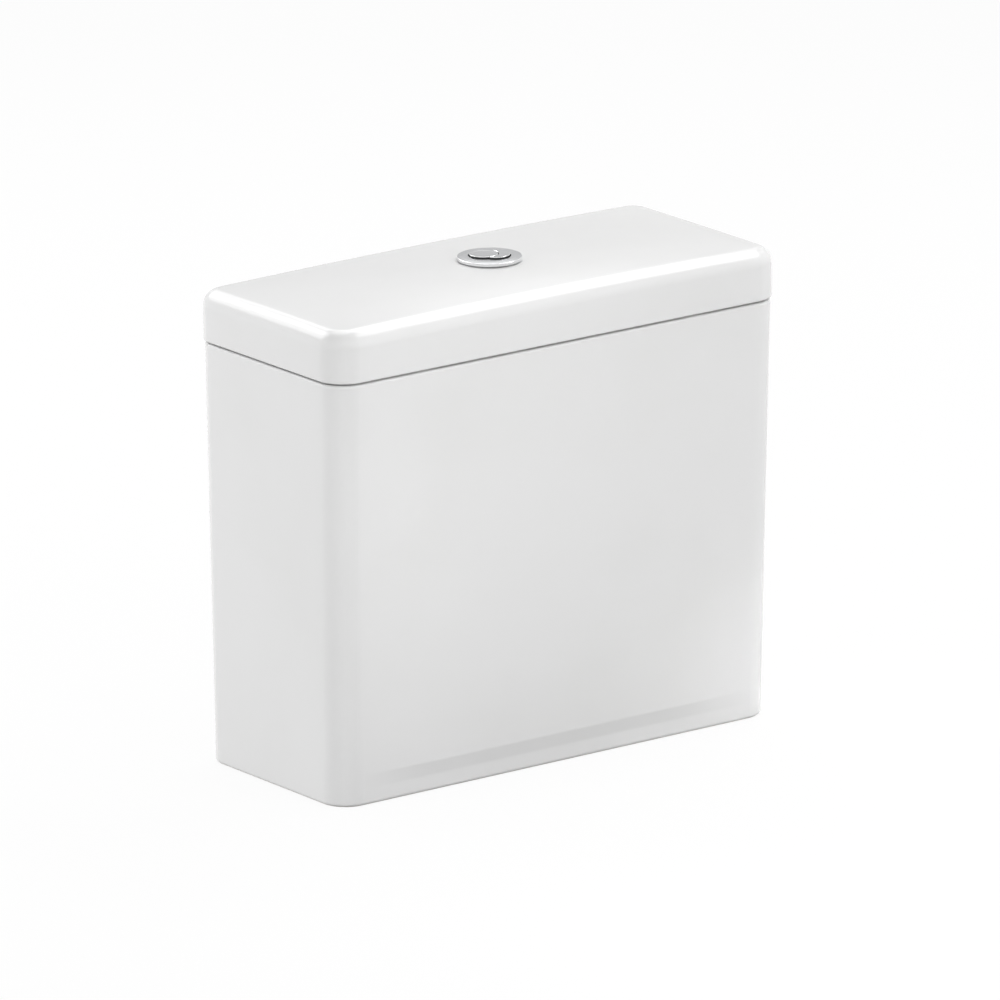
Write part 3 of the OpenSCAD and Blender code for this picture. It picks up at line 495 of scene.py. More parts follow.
class Model:
    """One mesh on the bench, shaped with edit-mode tools and finished with modifiers."""

    def __init__(self, name: str) -> None:
        """Takes over the object that is active.

        Args:
            name: The piece's name.
        """
        self.object: bpy.types.Object = bpy.context.active_object
        self.object.name = name
        self.object.data.name = name

    @staticmethod
    def deselect() -> None:
        """Leaves edit mode and selects nothing."""
        if bpy.context.mode != "OBJECT":
            bpy.ops.object.mode_set(mode="OBJECT")
        bpy.ops.object.select_all(action="DESELECT")

    @classmethod
    def block(cls, name: str, low: Vector, high: Vector) -> "Model":
        """Adds a block.

        Args:
            name: The piece's name.
            low: Its lowest corner.
            high: Its highest corner.

        Returns:
            The model.
        """
        cls.deselect()
        bpy.ops.mesh.primitive_cube_add(size=1, location=(low + high) / 2, scale=high - low)
        return cls(name).settle()

    @classmethod
    def round(cls, name: str, radius: float, foot: Vector, rise: float, sides: int = 96, caps: bool = True) -> "Model":
        """Adds an upright cylinder.

        Args:
            name: The piece's name.
            radius: Its radius.
            foot: The middle of its lower end.
            rise: Its height.
            sides: Flat sides round it.
            caps: Whether its ends are closed.

        Returns:
            The model.
        """
        cls.deselect()
        bpy.ops.mesh.primitive_cylinder_add(
            vertices=sides, radius=radius, depth=rise, location=foot + Vector((0, 0, rise / 2)),
            end_fill_type="NGON" if caps else "NOTHING",
        )
        return cls(name).settle()

    @classmethod
    def wound(cls, name: str, wire: float, radius: float, foot: Vector, pitch: float, turns: int,
              steps: int = 32, corners: int = 12) -> "Model":
        """Winds a wire round an upright line, open ends closed.

        Args:
            name: The piece's name.
            wire: Radius of the wire.
            radius: Radius of the winding at its wire.
            foot: Where the winding's axis starts.
            pitch: Rise of one turn.
            turns: How many turns.
            steps: Steps in a turn.
            corners: Corners of the wire's section.

        Returns:
            The model.
        """
        cls.deselect()
        bpy.ops.mesh.primitive_circle_add(
            vertices=corners, radius=wire, location=(radius, 0, 0), rotation=(math.pi / 2, 0, 0)
        )
        model = cls(name).settle()
        model.modify(
            "SCREW", axis="Z", angle=2 * math.pi, screw_offset=pitch, iterations=turns, steps=steps, render_steps=steps
        )
        model.pick_all()
        bpy.ops.mesh.fill_holes(sides=0)
        model.pick_all()
        bpy.ops.mesh.normals_make_consistent(inside=False)
        return model.move(*foot).settle()

    @classmethod
    def copy(cls, name: str, node: str) -> "Model":
        """Copies a CAD node, with its loose triangles merged into whole faces.

        Args:
            name: The piece's name.
            node: The node.

        Returns:
            The model.
        """
        cls.deselect()
        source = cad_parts[node]
        made = bpy.data.objects.new(name, source.data.copy())
        bpy.context.scene.collection.objects.link(made)
        made.select_set(True)
        bpy.context.view_layer.objects.active = made
        bpy.ops.mesh.customdata_custom_splitnormals_clear()
        model = cls(name)
        model.pick_all()
        bpy.ops.mesh.remove_doubles(threshold=1e-6)
        bpy.ops.mesh.dissolve_limited(angle_limit=math.radians(0.6))
        return model.settle()

    def settle(self) -> "Model":
        """Leaves edit mode and puts the object's place into its mesh.

        Returns:
            The model.
        """
        self.deselect()
        self.object.select_set(True)
        bpy.context.view_layer.objects.active = self.object
        bpy.ops.object.transform_apply(location=True, rotation=True, scale=True)
        return self

    def open(self, kind: str) -> bmesh.types.BMesh:
        """Goes into edit mode with nothing selected.

        Args:
            kind: VERT, EDGE or FACE.

        Returns:
            The mesh being edited.
        """
        if bpy.context.view_layer.objects.active is not self.object or bpy.context.mode != "EDIT_MESH":
            self.settle()
            bpy.ops.object.mode_set(mode="EDIT")
        bpy.ops.mesh.select_mode(type=kind)
        bpy.ops.mesh.select_all(action="DESELECT")
        return bmesh.from_edit_mesh(self.object.data)

    def pick_all(self) -> "Model":
        """Selects the whole mesh.

        Returns:
            The model.
        """
        self.open("FACE")
        bpy.ops.mesh.select_all(action="SELECT")
        return self

    def pick_faces(self, test: Test) -> "Model":
        """Selects some of the faces.

        Args:
            test: A test on a face's middle and normal.

        Returns:
            The model.
        """
        mesh = self.open("FACE")
        for face in mesh.faces:
            face.select_set(bool(test(face.calc_center_median(), face.normal)))
        bmesh.update_edit_mesh(self.object.data)
        return self

    def pick_edges(self, test: Test) -> "Model":
        """Selects some of the edges.

        Args:
            test: A test on the two ends of an edge.

        Returns:
            The model.
        """
        mesh = self.open("EDGE")
        for edge in mesh.edges:
            edge.select_set(bool(test(edge.verts[0].co, edge.verts[1].co)))
        bmesh.update_edit_mesh(self.object.data)
        return self

    def bevel(self, width: float, segments: int) -> "Model":
        """Rounds the selected edges."""
        bpy.ops.mesh.bevel(offset=width, offset_type="OFFSET", segments=segments, profile=0.5, affect="EDGES")
        return self

    def round_corners(self, front: float, rear: float, segments: int) -> "Model":
        """Rounds a block's upright edges.

        Args:
            front: Radius at the front.
            rear: Radius at the back.
            segments: Flats round each corner.

        Returns:
            The model.
        """
        for at_front, width in ((True, front), (False, rear)):
            self.pick_edges(lambda a, b: abs(a.z - b.z) > UPRIGHT and (a.y < 0) == at_front)
            self.bevel(width, segments)
        return self

    def inset(self, width: float) -> "Model":
        """Insets the selected faces."""
        bpy.ops.mesh.inset(thickness=width, depth=0, use_even_offset=True)
        return self

    def extrude(self, x: float, y: float, z: float) -> "Model":
        """Extrudes the selected faces by a step."""
        bpy.ops.mesh.extrude_region_move(TRANSFORM_OT_translate={"value": (x, y, z)})
        return self

    def move(self, x: float, y: float, z: float) -> "Model":
        """Moves what is selected."""
        bpy.ops.transform.translate(value=(x, y, z))
        return self

    def scale(self, x: float, y: float, z: float, about: Point) -> "Model":
        """Scales what is selected about a place."""
        bpy.ops.transform.resize(value=(x, y, z), center_override=about)
        return self

    def slice(self, place: Point, normal: Point, clear: bool = False) -> "Model":
        """Cuts the whole mesh along a plane.

        Args:
            place: A place on the plane.
            normal: The plane's normal.
            clear: Whether the side that the normal points to goes, and the cut is closed.

        Returns:
            The model.
        """
        self.open("VERT")
        bpy.ops.mesh.select_all(action="SELECT")
        bpy.ops.mesh.bisect(plane_co=place, plane_no=normal, use_fill=clear, clear_outer=clear)
        return self

    def modify(self, kind: str, **settings: Any) -> "Model":
        """Adds a modifier and applies it.

        Args:
            kind: The modifier's type.
            settings: Its settings.

        Returns:
            The model.
        """
        self.settle()
        modifier = self.object.modifiers.new(kind.lower(), kind)
        for name, value in settings.items():
            setattr(modifier, name, value)
        bpy.ops.object.modifier_apply(modifier=modifier.name)
        return self

    def combine(self, other: "Model", operation: str) -> "Model":
        """Joins, cuts or keeps what is shared with another model, which is used up.

        Args:
            other: The other model.
            operation: UNION, DIFFERENCE or INTERSECT.

        Returns:
            The model.
        """
        other.settle()
        self.modify("BOOLEAN", object=other.object, operation=operation, solver="EXACT")
        bpy.data.objects.remove(other.object)
        return self

    def smooth(self, degrees: float = 32.0, weighted: bool = True) -> "Model":
        """Shades smooth up to an angle, with flat faces kept flat.

        Args:
            degrees: Edges sharper than this stay sharp.
            weighted: Whether large faces rule the shading beside small ones.

        Returns:
            The model.
        """
        self.settle()
        bpy.ops.object.shade_smooth_by_angle(angle=math.radians(degrees))
        if weighted:
            self.modify("WEIGHTED_NORMAL", weight=50, keep_sharp=True)
        return self

    def paint(self, finish: Palette, test: Optional[Test] = None) -> "Model":
        """Gives the piece a finish, or only the faces that pass a test.

        Args:
            finish: The finish.
            test: A test on a face's middle and normal.

        Returns:
            The model.
        """
        self.settle()
        mesh = self.object.data
        if test is None:
            mesh.materials.clear()
            mesh.materials.append(finish.stuff)
            return self
        mesh.materials.append(finish.stuff)
        for face in mesh.polygons:
            if test(face.center, face.normal):
                face.material_index = len(mesh.materials) - 1
        return self

    def place(self, body: str, slot: str, *nodes: str) -> bpy.types.Object:
        """Puts the finished piece on a CAD body.

        Args:
            body: The body it rides on.
            slot: The record's material slot; not used.
            nodes: The CAD nodes that it stands for.

        Returns:
            The piece.
        """
        self.settle()
        self.deselect()
        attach(self.object, body)
        if nodes:
            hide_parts(*nodes)
        LOG.info("%s on %s, %d faces", self.object.name, body, len(self.object.data.polygons))
        return self.object


@dataclass(frozen=True)
class Moulding:
    """A CAD node kept in its shape, with its edges rounded as a mould leaves them."""

    node: str
    body: str
    finish: Palette
    # Nothing where the edges are too close together to be rounded
    edge: float = 0.4 * MM

    def build(self) -> bpy.types.Object:
        """Builds the piece.

        Returns:
            The piece.
        """
        model = Model.copy(self.node + "_moulded", self.node)
        if self.edge:
            model.modify(
                "BEVEL", width=self.edge, segments=2, limit_method="ANGLE", angle_limit=math.radians(40),
                use_clamp_overlap=True, harden_normals=False,
            )
        model.smooth(38.0).paint(self.finish)
        return model.place(self.body, self.finish.value.slot, self.node)


@dataclass(frozen=True)
class Thread:
    """The turns that show on a plastic thread: lengths in millimetres, the ridge by its own radius."""

    name: str
    body: str
    ridge: float
    radius: float
    foot: Point
    pitch: float
    turns: int
    steps: int

    def build(self) -> bpy.types.Object:
        """Winds the thread.

        Returns:
            The piece.
        """
        model = Model.wound(
            self.name, self.ridge * MM, self.radius * MM, mm(*self.foot), self.pitch * MM, self.turns, self.steps, 4
        )
        model.smooth(30.0, weighted=False).paint(Palette.WHITE)
        return model.place(self.body, "white_plastic")


@dataclass
class Tank:
    """The glazed tank: leaning walls, rounded corners, an open top and a recessed underside."""

    half_w: float = 198.9 * MM
    half_d: float = 86.4 * MM
    rise: float = 315 * MM
    side_draft: float = 4 * MM
    front_draft: float = 9 * MM
    wall: float = 10 * MM
    floor: float = 42 * MM
    recess: float = 30 * MM
    front_round: float = 20.9 * MM
    rear_round: float = 16.9 * MM
    foot_round: float = 3 * MM
    rim_round: float = 2 * MM
    floor_round: float = 4 * MM
    corner_steps: int = 20
    # The front swells above a plain foot: how far, between which heights, up to where and how near the corners
    swell: float = 2.2 * MM
    swell_rise: tuple[float, float] = (12.5 * MM, 23 * MM)
    swell_top: float = 200 * MM
    swell_reach: tuple[float, float] = (110 * MM, 184 * MM)
    # What lies this near to the front face swells with it
    skin: float = 4 * MM
    # Where the tank is cut so that it can swell, to each side and upwards, in millimetres
    side_cuts: range = range(108, 187, 6)
    upward_cuts: tuple[int, ...] = (*range(11, 26), 28, 32, 37, 45, 55, 70, 90, 115, 145, 175, 200)
    # Place and radius of each hole in the floor, and the drill's lower end and length, in millimetres
    holes: tuple[tuple[float, float], ...] = ((0.0, 31.5), (120.0, 11.6), (-75.0, 5.5), (75.0, 5.5))
    drill: tuple[float, float] = (20, 40)
    # The underside is bare clay behind this
    clay_front: float = -70 * MM

    def shell(self) -> Model:
        """Shapes the outside from a block.

        Returns:
            The model.
        """
        model = Model.block("tank_shell", Vector((-self.half_w, -self.half_d, 0)),
                            Vector((self.half_w, self.half_d, self.rise)))
        model.pick_faces(level_below(NEAR))
        model.scale(1 - self.side_draft / self.half_w, 1, 1, (0, 0, 0))
        model.pick_edges(lambda a, b: max(a.z, b.z) < NEAR and max(a.y, b.y) < 0)
        model.move(0, self.front_draft, 0)
        model.round_corners(self.front_round, self.rear_round, self.corner_steps)
        model.pick_edges(below(NEAR)).bevel(self.foot_round, 6)
        return model.pick_edges(above(self.rise - NEAR)).bevel(self.rim_round, 5)

    def hollow(self, model: Model) -> None:
        """Opens the tank from the top and its underside from below.

        Args:
            model: The shell.
        """
        lean = 1 - self.floor / self.rise
        model.pick_faces(level_above(self.rise - NEAR))
        model.inset(self.wall - self.rim_round).extrude(0, 0, self.floor - self.rise)
        inner_w, inner_d = self.half_w - self.wall, self.half_d - self.wall
        narrow, shallow = self.side_draft * lean / inner_w, self.front_draft * lean / (2 * inner_d)
        model.scale(1 - narrow, 1 - shallow, 1, (0, inner_d, 0))
        model.pick_edges(lambda a, b: max(abs(a.z - self.floor), abs(b.z - self.floor)) < NEAR)
        model.bevel(self.floor_round, 4)
        model.pick_faces(level_below(NEAR))
        model.inset(self.wall - self.foot_round).extrude(0, 0, self.recess)

    def swollen(self, x: float, z: float) -> float:
        """Returns how far the front face stands out at a place.

        Args:
            x: Place along the front.
            z: Height above the foot.

        Returns:
            The distance, which fades upwards and towards the corners.
        """
        (foot, full), (near, far) = self.swell_rise, self.swell_reach
        rise = min(max((z - foot) / (full - foot), 0.0), 1.0)
        fade = ease((self.swell_top - z) / (self.swell_top - full))
        return self.swell * rise * fade * ease((far - abs(x)) / (far - near))

    def foot(self, model: Model) -> None:
        """Swells the front above its foot, which leaves a soft step along the bottom edge.

        Args:
            model: The shell.
        """
        for x in self.side_cuts:
            model.slice((x * MM, 0, 0), (1, 0, 0)).slice((-x * MM, 0, 0), (1, 0, 0))
        for z in self.upward_cuts:
            model.slice((0, 0, z * MM), (0, 0, 1))
        for vertex in model.open("VERT").verts:
            wall = -self.half_d + self.front_draft * (1 - vertex.co.z / self.rise)
            if vertex.co.y < wall + self.skin:
                vertex.co.y -= self.swollen(vertex.co.x, vertex.co.z)
        bmesh.update_edit_mesh(model.object.data)

    def build(self) -> bpy.types.Object:
        """Builds the tank.

        Returns:
            The piece.
        """
        model = self.shell()
        self.hollow(model)
        self.foot(model)
        start, length = self.drill
        for x, radius in self.holes:
            model.combine(Model.round("drill", radius * MM, mm(x, 0, start), length * MM), "DIFFERENCE")
        model.smooth(34.0).paint(Palette.GLAZE)
        inner_w, inner_d = self.half_w - self.wall - 2 * MM, self.half_d - self.wall + MM
        model.paint(Palette.CLAY, lambda centre, normal: centre.z < self.recess + MM
                    and abs(centre.x) < inner_w and self.clay_front < centre.y < inner_d)
        return model.place("tank", "glaze", "cistern_tank")


@dataclass
class Lid:
    """The domed lid, hollow below, with a button hole and four locating lugs."""

    half_w: float = 200 * MM
    half_d: float = 87.5 * MM
    skirt: float = 316.5 * MM
    edge: float = 353.7 * MM
    roof: float = 344.7 * MM
    dome: float = 6 * MM
    crown: float = 1 * MM
    wall: float = 9 * MM
    front_round: float = 22 * MM
    rear_round: float = 18 * MM
    top_round: float = 12 * MM
    skirt_round: float = 1.5 * MM
    bore: float = 20.2 * MM
    lug_x: float = 150 * MM
    lug_w: float = 30 * MM
    lug_t: float = 8 * MM
    lug_y: float = 74.9 * MM
    lug_foot: float = 308.5 * MM
    lug_round: float = 1.5 * MM
    corner_steps: int = 22
    # Spacing of the cuts that the dome follows, and how many lie each side of the middle
    net: tuple[tuple[float, int], ...] = ((10 * MM, 19), (8 * MM, 10))
    # The drill's lower end under the roof, and its length
    drill: tuple[float, float] = (5 * MM, 30 * MM)

    def swell(self, x: float, y: float) -> float:
        """Returns how far the top rises above its edge at a place in plan."""
        along, across = 1 - (x / self.half_w) ** 2, 1 - (y / self.half_d) ** 2
        return along * (self.crown + (self.dome - self.crown) * across)

    def shell(self) -> Model:
        """Shapes the flat-topped lid from a block.

        Returns:
            The model.
        """
        model = Model.block("lid_shell", Vector((-self.half_w, -self.half_d, self.skirt)),
                            Vector((self.half_w, self.half_d, self.edge)))
        model.round_corners(self.front_round, self.rear_round, self.corner_steps)
        model.pick_edges(above(self.edge - NEAR)).bevel(self.top_round, 12)
        model.pick_edges(below(self.skirt + NEAR)).bevel(self.skirt_round, 5)
        model.pick_faces(level_below(self.skirt + NEAR))
        return model.inset(self.wall - self.skirt_round).extrude(0, 0, self.roof - self.skirt)

    def raise_top(self, model: Model) -> None:
        """Cuts the lid into a fine net and raises its top into a dome.

        Args:
            model: The flat-topped lid.
        """
        for normal, (spacing, count) in zip(((1, 0, 0), (0, 1, 0)), self.net):
            for step in range(-count, count + 1):
                model.slice(step * spacing * Vector(normal), normal)
        start = self.edge - self.top_round - 0.01 * MM
        for vertex in model.open("VERT").verts:
            outside = vertex.co.z > self.roof + 0.5 * MM or max(
                abs(vertex.co.x) - self.half_w, abs(vertex.co.y) - self.half_d) > -self.wall + MM
            if outside and vertex.co.z > start:
                vertex.co.z += self.swell(vertex.co.x, vertex.co.y)
        bmesh.update_edit_mesh(model.object.data)

    def build(self) -> bpy.types.Object:
        """Builds the lid.

        Returns:
            The piece.
        """
        model = self.shell()
        self.raise_top(model)
        for x in (-self.lug_x, self.lug_x):
            for side in (-1, 1):
                middle = side * (self.lug_y - self.lug_t / 2)
                lug = Model.block("lug", Vector((x - self.lug_w / 2, middle - self.lug_t / 2, self.lug_foot)),
                                  Vector((x + self.lug_w / 2, middle + self.lug_t / 2, self.roof + MM)))
                lug.pick_edges(lambda a, b: min(a.z, b.z) < self.roof).bevel(self.lug_round, 4)
                model.combine(lug, "UNION")
        depth, length = self.drill
        drill = Model.round("drill", self.bore, Vector((0, 0, self.roof - depth)), length, 128)
        model.combine(drill, "DIFFERENCE")
        model.smooth(34.0).paint(Palette.GLAZE)
        return model.place("lid", "glaze", "cistern_lid")


@dataclass
class FlushButton:
    """The chrome button set in the lid: bezel, round button, crescent and their return springs."""

    bezel_r: float = 23.6 * MM
    bezel_foot: float = 360.5 * MM
    bezel_h: float = 1.9 * MM
    rim_r: float = 0.4 * MM
    foot_r: float = 0.25 * MM
    # A lip round the bezel reaches down past the gasket: how far, and how wide
    lip: tuple[float, float] = (0.45 * MM, 1.0 * MM)
    # Steps of the bezel's low dome: how far in, and how far up
    crown: tuple[tuple[float, float], ...] = ((1.9 * MM, 0.2 * MM), (1.9 * MM, 0.16 * MM), (1.7 * MM, 0.12 * MM))
    collar_r: float = 17.5 * MM
    collar_wall: float = 1.1 * MM
    collar_h: float = 10 * MM
    button_r: float = 10.6 * MM
    pitch: float = 8.7 * MM
    turn: float = math.radians(-45)
    foot: float = 356.1 * MM
    rise: float = 8 * MM
    gap: float = 0.5 * MM
    # Room round the buttons in the bezel, and how far its edge is rounded
    room: float = 0.75 * MM
    mouth: float = 0.12 * MM
    drill_h: float = 6 * MM
    bevel: float = 0.3 * MM
    # Where the crescent's two tips are cut blunt
    tip: float = 1.6 * MM
    # Tops steeper than this are bright, the others satin
    satin: float = 0.97
    # Walls of the gaps lean less than this, and get painted shade
    lean: float = 0.3
    # Steps of the round button's dished top: how far in, and how far down
    dish: tuple[tuple[float, float], ...] = (
        (0.9 * MM, 0.0), (0.9 * MM, 0.1 * MM), (1.2 * MM, 0.06 * MM), (2 * MM, 0.03 * MM),
    )
    flange_foot: float = 358.7 * MM
    flange_t: float = 1.5 * MM
    flange_w: float = 1.2 * MM
    rod: float = 6.576 * MM
    spring_foot: float = 324.4 * MM
    spring_top: float = 355.4 * MM
    spring_r: float = 3.6 * MM
    spring_wire: float = 0.4 * MM
    spring_turns: int = 10
    seat: float = 323.7 * MM
    press: float = 6 * MM
    holders: tuple[Union[Thread, Moulding], ...] = (
        Thread("sleeve_thread", "lid", 0.32, 19.55, (0, 0, 321.6), 1.5, 8, 72),
        Moulding("button_sleeve", "lid", Palette.WHITE, 0.3 * MM),
        Moulding("sleeve_nut", "lid", Palette.WHITE, 0),
        Moulding("button_gasket", "lid", Palette.BLACK, 0.3 * MM),
        Moulding("full_flush_rod", "full_button", Palette.WHITE, 0),
        Moulding("half_flush_rod", "half_button", Palette.BLUE, 0),
    )

    def centre(self, side: int, height: float) -> Vector:
        """Returns the middle of a button at a height: side is -1 for the round one, 1 for the crescent."""
        reach = side * self.pitch / 2
        return Vector((reach * math.cos(self.turn), reach * math.sin(self.turn), height))

    def from_buttons(self, place: Vector) -> float:
        """Returns how far a place is from the middle of the nearer button, in plan."""
        return min((place - self.centre(side, place.z)).length for side in (-1, 1))

    def is_top(self, centre: Vector, normal: Vector) -> bool:
        """Returns whether a face is part of a level top."""
        return normal.z > self.satin and centre.z > self.bezel_foot

    def is_painted_shade_wall(self, centre: Vector, normal: Vector) -> bool:
        """Returns whether a face is an upright wall of the gaps round the buttons, which gets painted shade."""
        return abs(normal.z) < self.lean and self.from_buttons(centre) < self.button_r + self.flange_w

    def plate(self, model: Model) -> None:
        """Plates a piece: bright edges, satin tops and painted shade on the walls of the gaps."""
        model.smooth(40.0).paint(Palette.CHROME)
        model.paint(Palette.SATIN, self.is_top).paint(Palette.SHADED, self.is_painted_shade_wall)

    def bezel(self) -> bpy.types.Object:
        """Turns the bezel plate, cuts the two button circles through it and adds its collar.

        Returns:
            The piece.
        """
        top = self.bezel_foot + self.bezel_h
        drop, width = self.lip
        foot = self.bezel_foot - drop
        model = Model.round("bezel_plate", self.bezel_r, Vector((0, 0, foot)), self.bezel_h + drop, 160)
        model.pick_edges(above(top - NEAR)).bevel(self.rim_r, 5)
        model.pick_edges(below(foot + NEAR)).bevel(self.foot_r, 3)
        model.pick_faces(level_below(foot + CLOSE)).inset(width).extrude(0, 0, drop)
        model.pick_faces(level_above(top - CLOSE))
        for step, rise in self.crown:
            model.inset(step).move(0, 0, rise)
        top += sum(rise for _, rise in self.crown)
        collar = Model.round("collar", self.collar_r, Vector((0, 0, self.bezel_foot - self.collar_h)),
                             self.collar_h + self.bezel_h / 2, 128, caps=False)
        collar.modify("SOLIDIFY", thickness=self.collar_wall, offset=-1)
        model.combine(collar, "UNION")
        hole = self.button_r + self.room
        for side in (-1, 1):
            drill = Model.round("drill", hole, self.centre(side, self.bezel_foot - MM), self.drill_h, 128)
            model.combine(drill, "DIFFERENCE")
        reach = self.pitch / 2 + hole + 2 * NEAR
        model.pick_edges(lambda a, b: min(a.z, b.z) > top - CLOSE and max(a.xy.length, b.xy.length) < reach
                         and self.from_buttons(a) < hole + NEAR)
        model.bevel(self.mouth, 2)
        self.plate(model)
        return model.place("lid", "chrome", "button_bezel")

    def button(self, side: int) -> bpy.types.Object:
        """Turns one button: a soft edge, the flange that holds it under the bezel and, on the round one only, a dished
        top.

        Args:
            side: -1 for the round button, 1 for the crescent.

        Returns:
            The piece.
        """
        name = "full" if side < 0 else "half"
        top = self.foot + self.rise
        model = Model.round(f"{name}_button_cap", self.button_r, self.centre(side, self.foot), self.rise, 160)
        seat = self.centre(side, self.flange_foot)
        flange = Model.round("flange", self.button_r + self.flange_w, seat, self.flange_t)
        outwards = Vector((side * math.cos(self.turn), side * math.sin(self.turn), 0))
        flange.slice(self.centre(side, 0), -outwards, clear=True)
        model.combine(flange, "UNION")
        if side > 0:
            start = self.centre(-1, self.foot - MM)
            drill = Model.round("drill", self.button_r + self.gap, start, 1.5 * self.rise, 160)
            model.combine(drill, "DIFFERENCE")
            model.slice(self.tip * outwards, -outwards, clear=True)
        else:
            relief = Model.round("relief", self.spring_r + self.spring_wire + self.gap,
                                 Vector((self.rod, -self.rod, self.foot - MM)), MM + self.press + self.gap, 64)
            model.combine(relief, "DIFFERENCE")
        model.pick_edges(above(top - CLOSE)).bevel(self.bevel, 6)
        if side < 0:
            model.pick_faces(level_above(top - CLOSE))
            for width, depth in self.dish:
                model.inset(width).move(0, 0, -depth)
        self.plate(model)
        return model.place(f"{name}_button", "chrome", f"{name}_flush_button")

    def spring(self, side: int) -> bpy.types.Object:
        """Winds one return spring, on a mesh of its own; nothing here shortens it as its button goes down.

        Args:
            side: -1 for the round button's spring, 1 for the crescent's.

        Returns:
            The piece.
        """
        name = "full" if side < 0 else "half"
        foot = Vector((side * self.rod, -side * self.rod, self.spring_foot))
        pitch = (self.spring_top - self.spring_foot) / self.spring_turns
        model = Model.wound(f"{name}_spring_coil", self.spring_wire, self.spring_r, foot, pitch, self.spring_turns)
        model.smooth(60.0, weighted=False).paint(Palette.STEEL)
        piece = model.place("lid", "steel", f"{name}_button_spring")
        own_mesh(piece)
        return piece

    def build(self) -> None:
        """Builds the button set and the pieces that hold it in the lid."""
        self.bezel()
        for side in (-1, 1):
            self.button(side)
            self.spring(side)
        for holder in self.holders:
            holder.build()


@dataclass
class FlushValve:
    """The flush valve: base, tower, bridge, bell on its overflow tube, levers and the half-flush plunger."""

    pieces: tuple[Union[Thread, Moulding], ...] = (
        Moulding("flush_valve_base", "tank", Palette.WHITE, 0),
        Moulding("base_seal", "tank", Palette.BLACK),
        Moulding("back_nut", "tank", Palette.WHITE),
        Moulding("coupling_gasket", "tank", Palette.BLACK),
        Moulding("valve_tower", "tank", Palette.WHITE),
        Moulding("actuator_bridge", "tank", Palette.SLATE, 0),
        Moulding("full_lever_pin", "tank", Palette.STEEL),
        Moulding("half_lever_pin", "tank", Palette.STEEL),
        Moulding("lid_buffers", "tank", Palette.CLEAR),
        Moulding("overflow_stem", "stem", Palette.GREY),
        Moulding("bell_seal", "stem", Palette.RED),
        Moulding("bell_float", "stem", Palette.WHITE),
        Moulding("lift_crosshead", "stem", Palette.SLATE),
        Moulding("half_flush_link", "half_valve", Palette.BLUE),
        Moulding("half_flush_plunger", "half_valve", Palette.BLUE),
        Moulding("plunger_seal", "half_valve", Palette.RED),
        Moulding("full_flush_lever", "full_lever", Palette.WHITE, 0),
        Moulding("half_flush_lever", "half_lever", Palette.BLUE, 0.7 * MM),
        Thread("shank_thread", "tank", 1.1, 29.7, (0, 0, 9.4), 3, 3, 96),
    )
    tower_r: float = 34 * MM
    marks: int = 9
    mark_from: float = 96 * MM
    mark_step: float = 11 * MM
    mark_h: float = 1.2 * MM
    mark_turn: float = math.radians(-62)
    # Half the length of a long and of a short mark, and how many steps lie from one long mark to the next
    mark_half: tuple[float, float] = (4.2 * MM, 2.4 * MM)
    long_each: int = 4
    # How far a mark stands out of the tower and reaches into it, and how its face is drawn in
    mark_depth: tuple[float, float] = (0.5 * MM, 0.6 * MM)
    mark_taper: tuple[float, float] = (0.86, 0.6)

    def scale_marks(self) -> bpy.types.Object:
        """Models the raised level marks up the tower's side, every fourth one longer.

        Returns:
            The piece.
        """
        whole: Optional[Model] = None
        (long, short), (out, deep), (along, up) = self.mark_half, self.mark_depth, self.mark_taper
        for step in range(self.marks):
            half = short if step % self.long_each else long
            z = self.mark_from + step * self.mark_step
            mark = Model.block("level_marks", Vector((-half, -self.tower_r - out, z)),
                               Vector((half, -self.tower_r + deep, z + self.mark_h)))
            mark.pick_faces(lambda centre, normal: normal.y < -FLAT).scale(along, 1, up, (0, 0, z + self.mark_h / 2))
            mark.settle()
            mark.object.data.transform(Matrix.Rotation(self.mark_turn, 4, "Z"))
            whole = whole.combine(mark, "UNION") if whole else mark
        whole.smooth(30.0, weighted=False).paint(Palette.WHITE)
        return whole.place("tank", "white_plastic")

    def build(self) -> None:
        """Builds the valve."""
        for piece in self.pieces:
            piece.build()
        self.scale_marks()


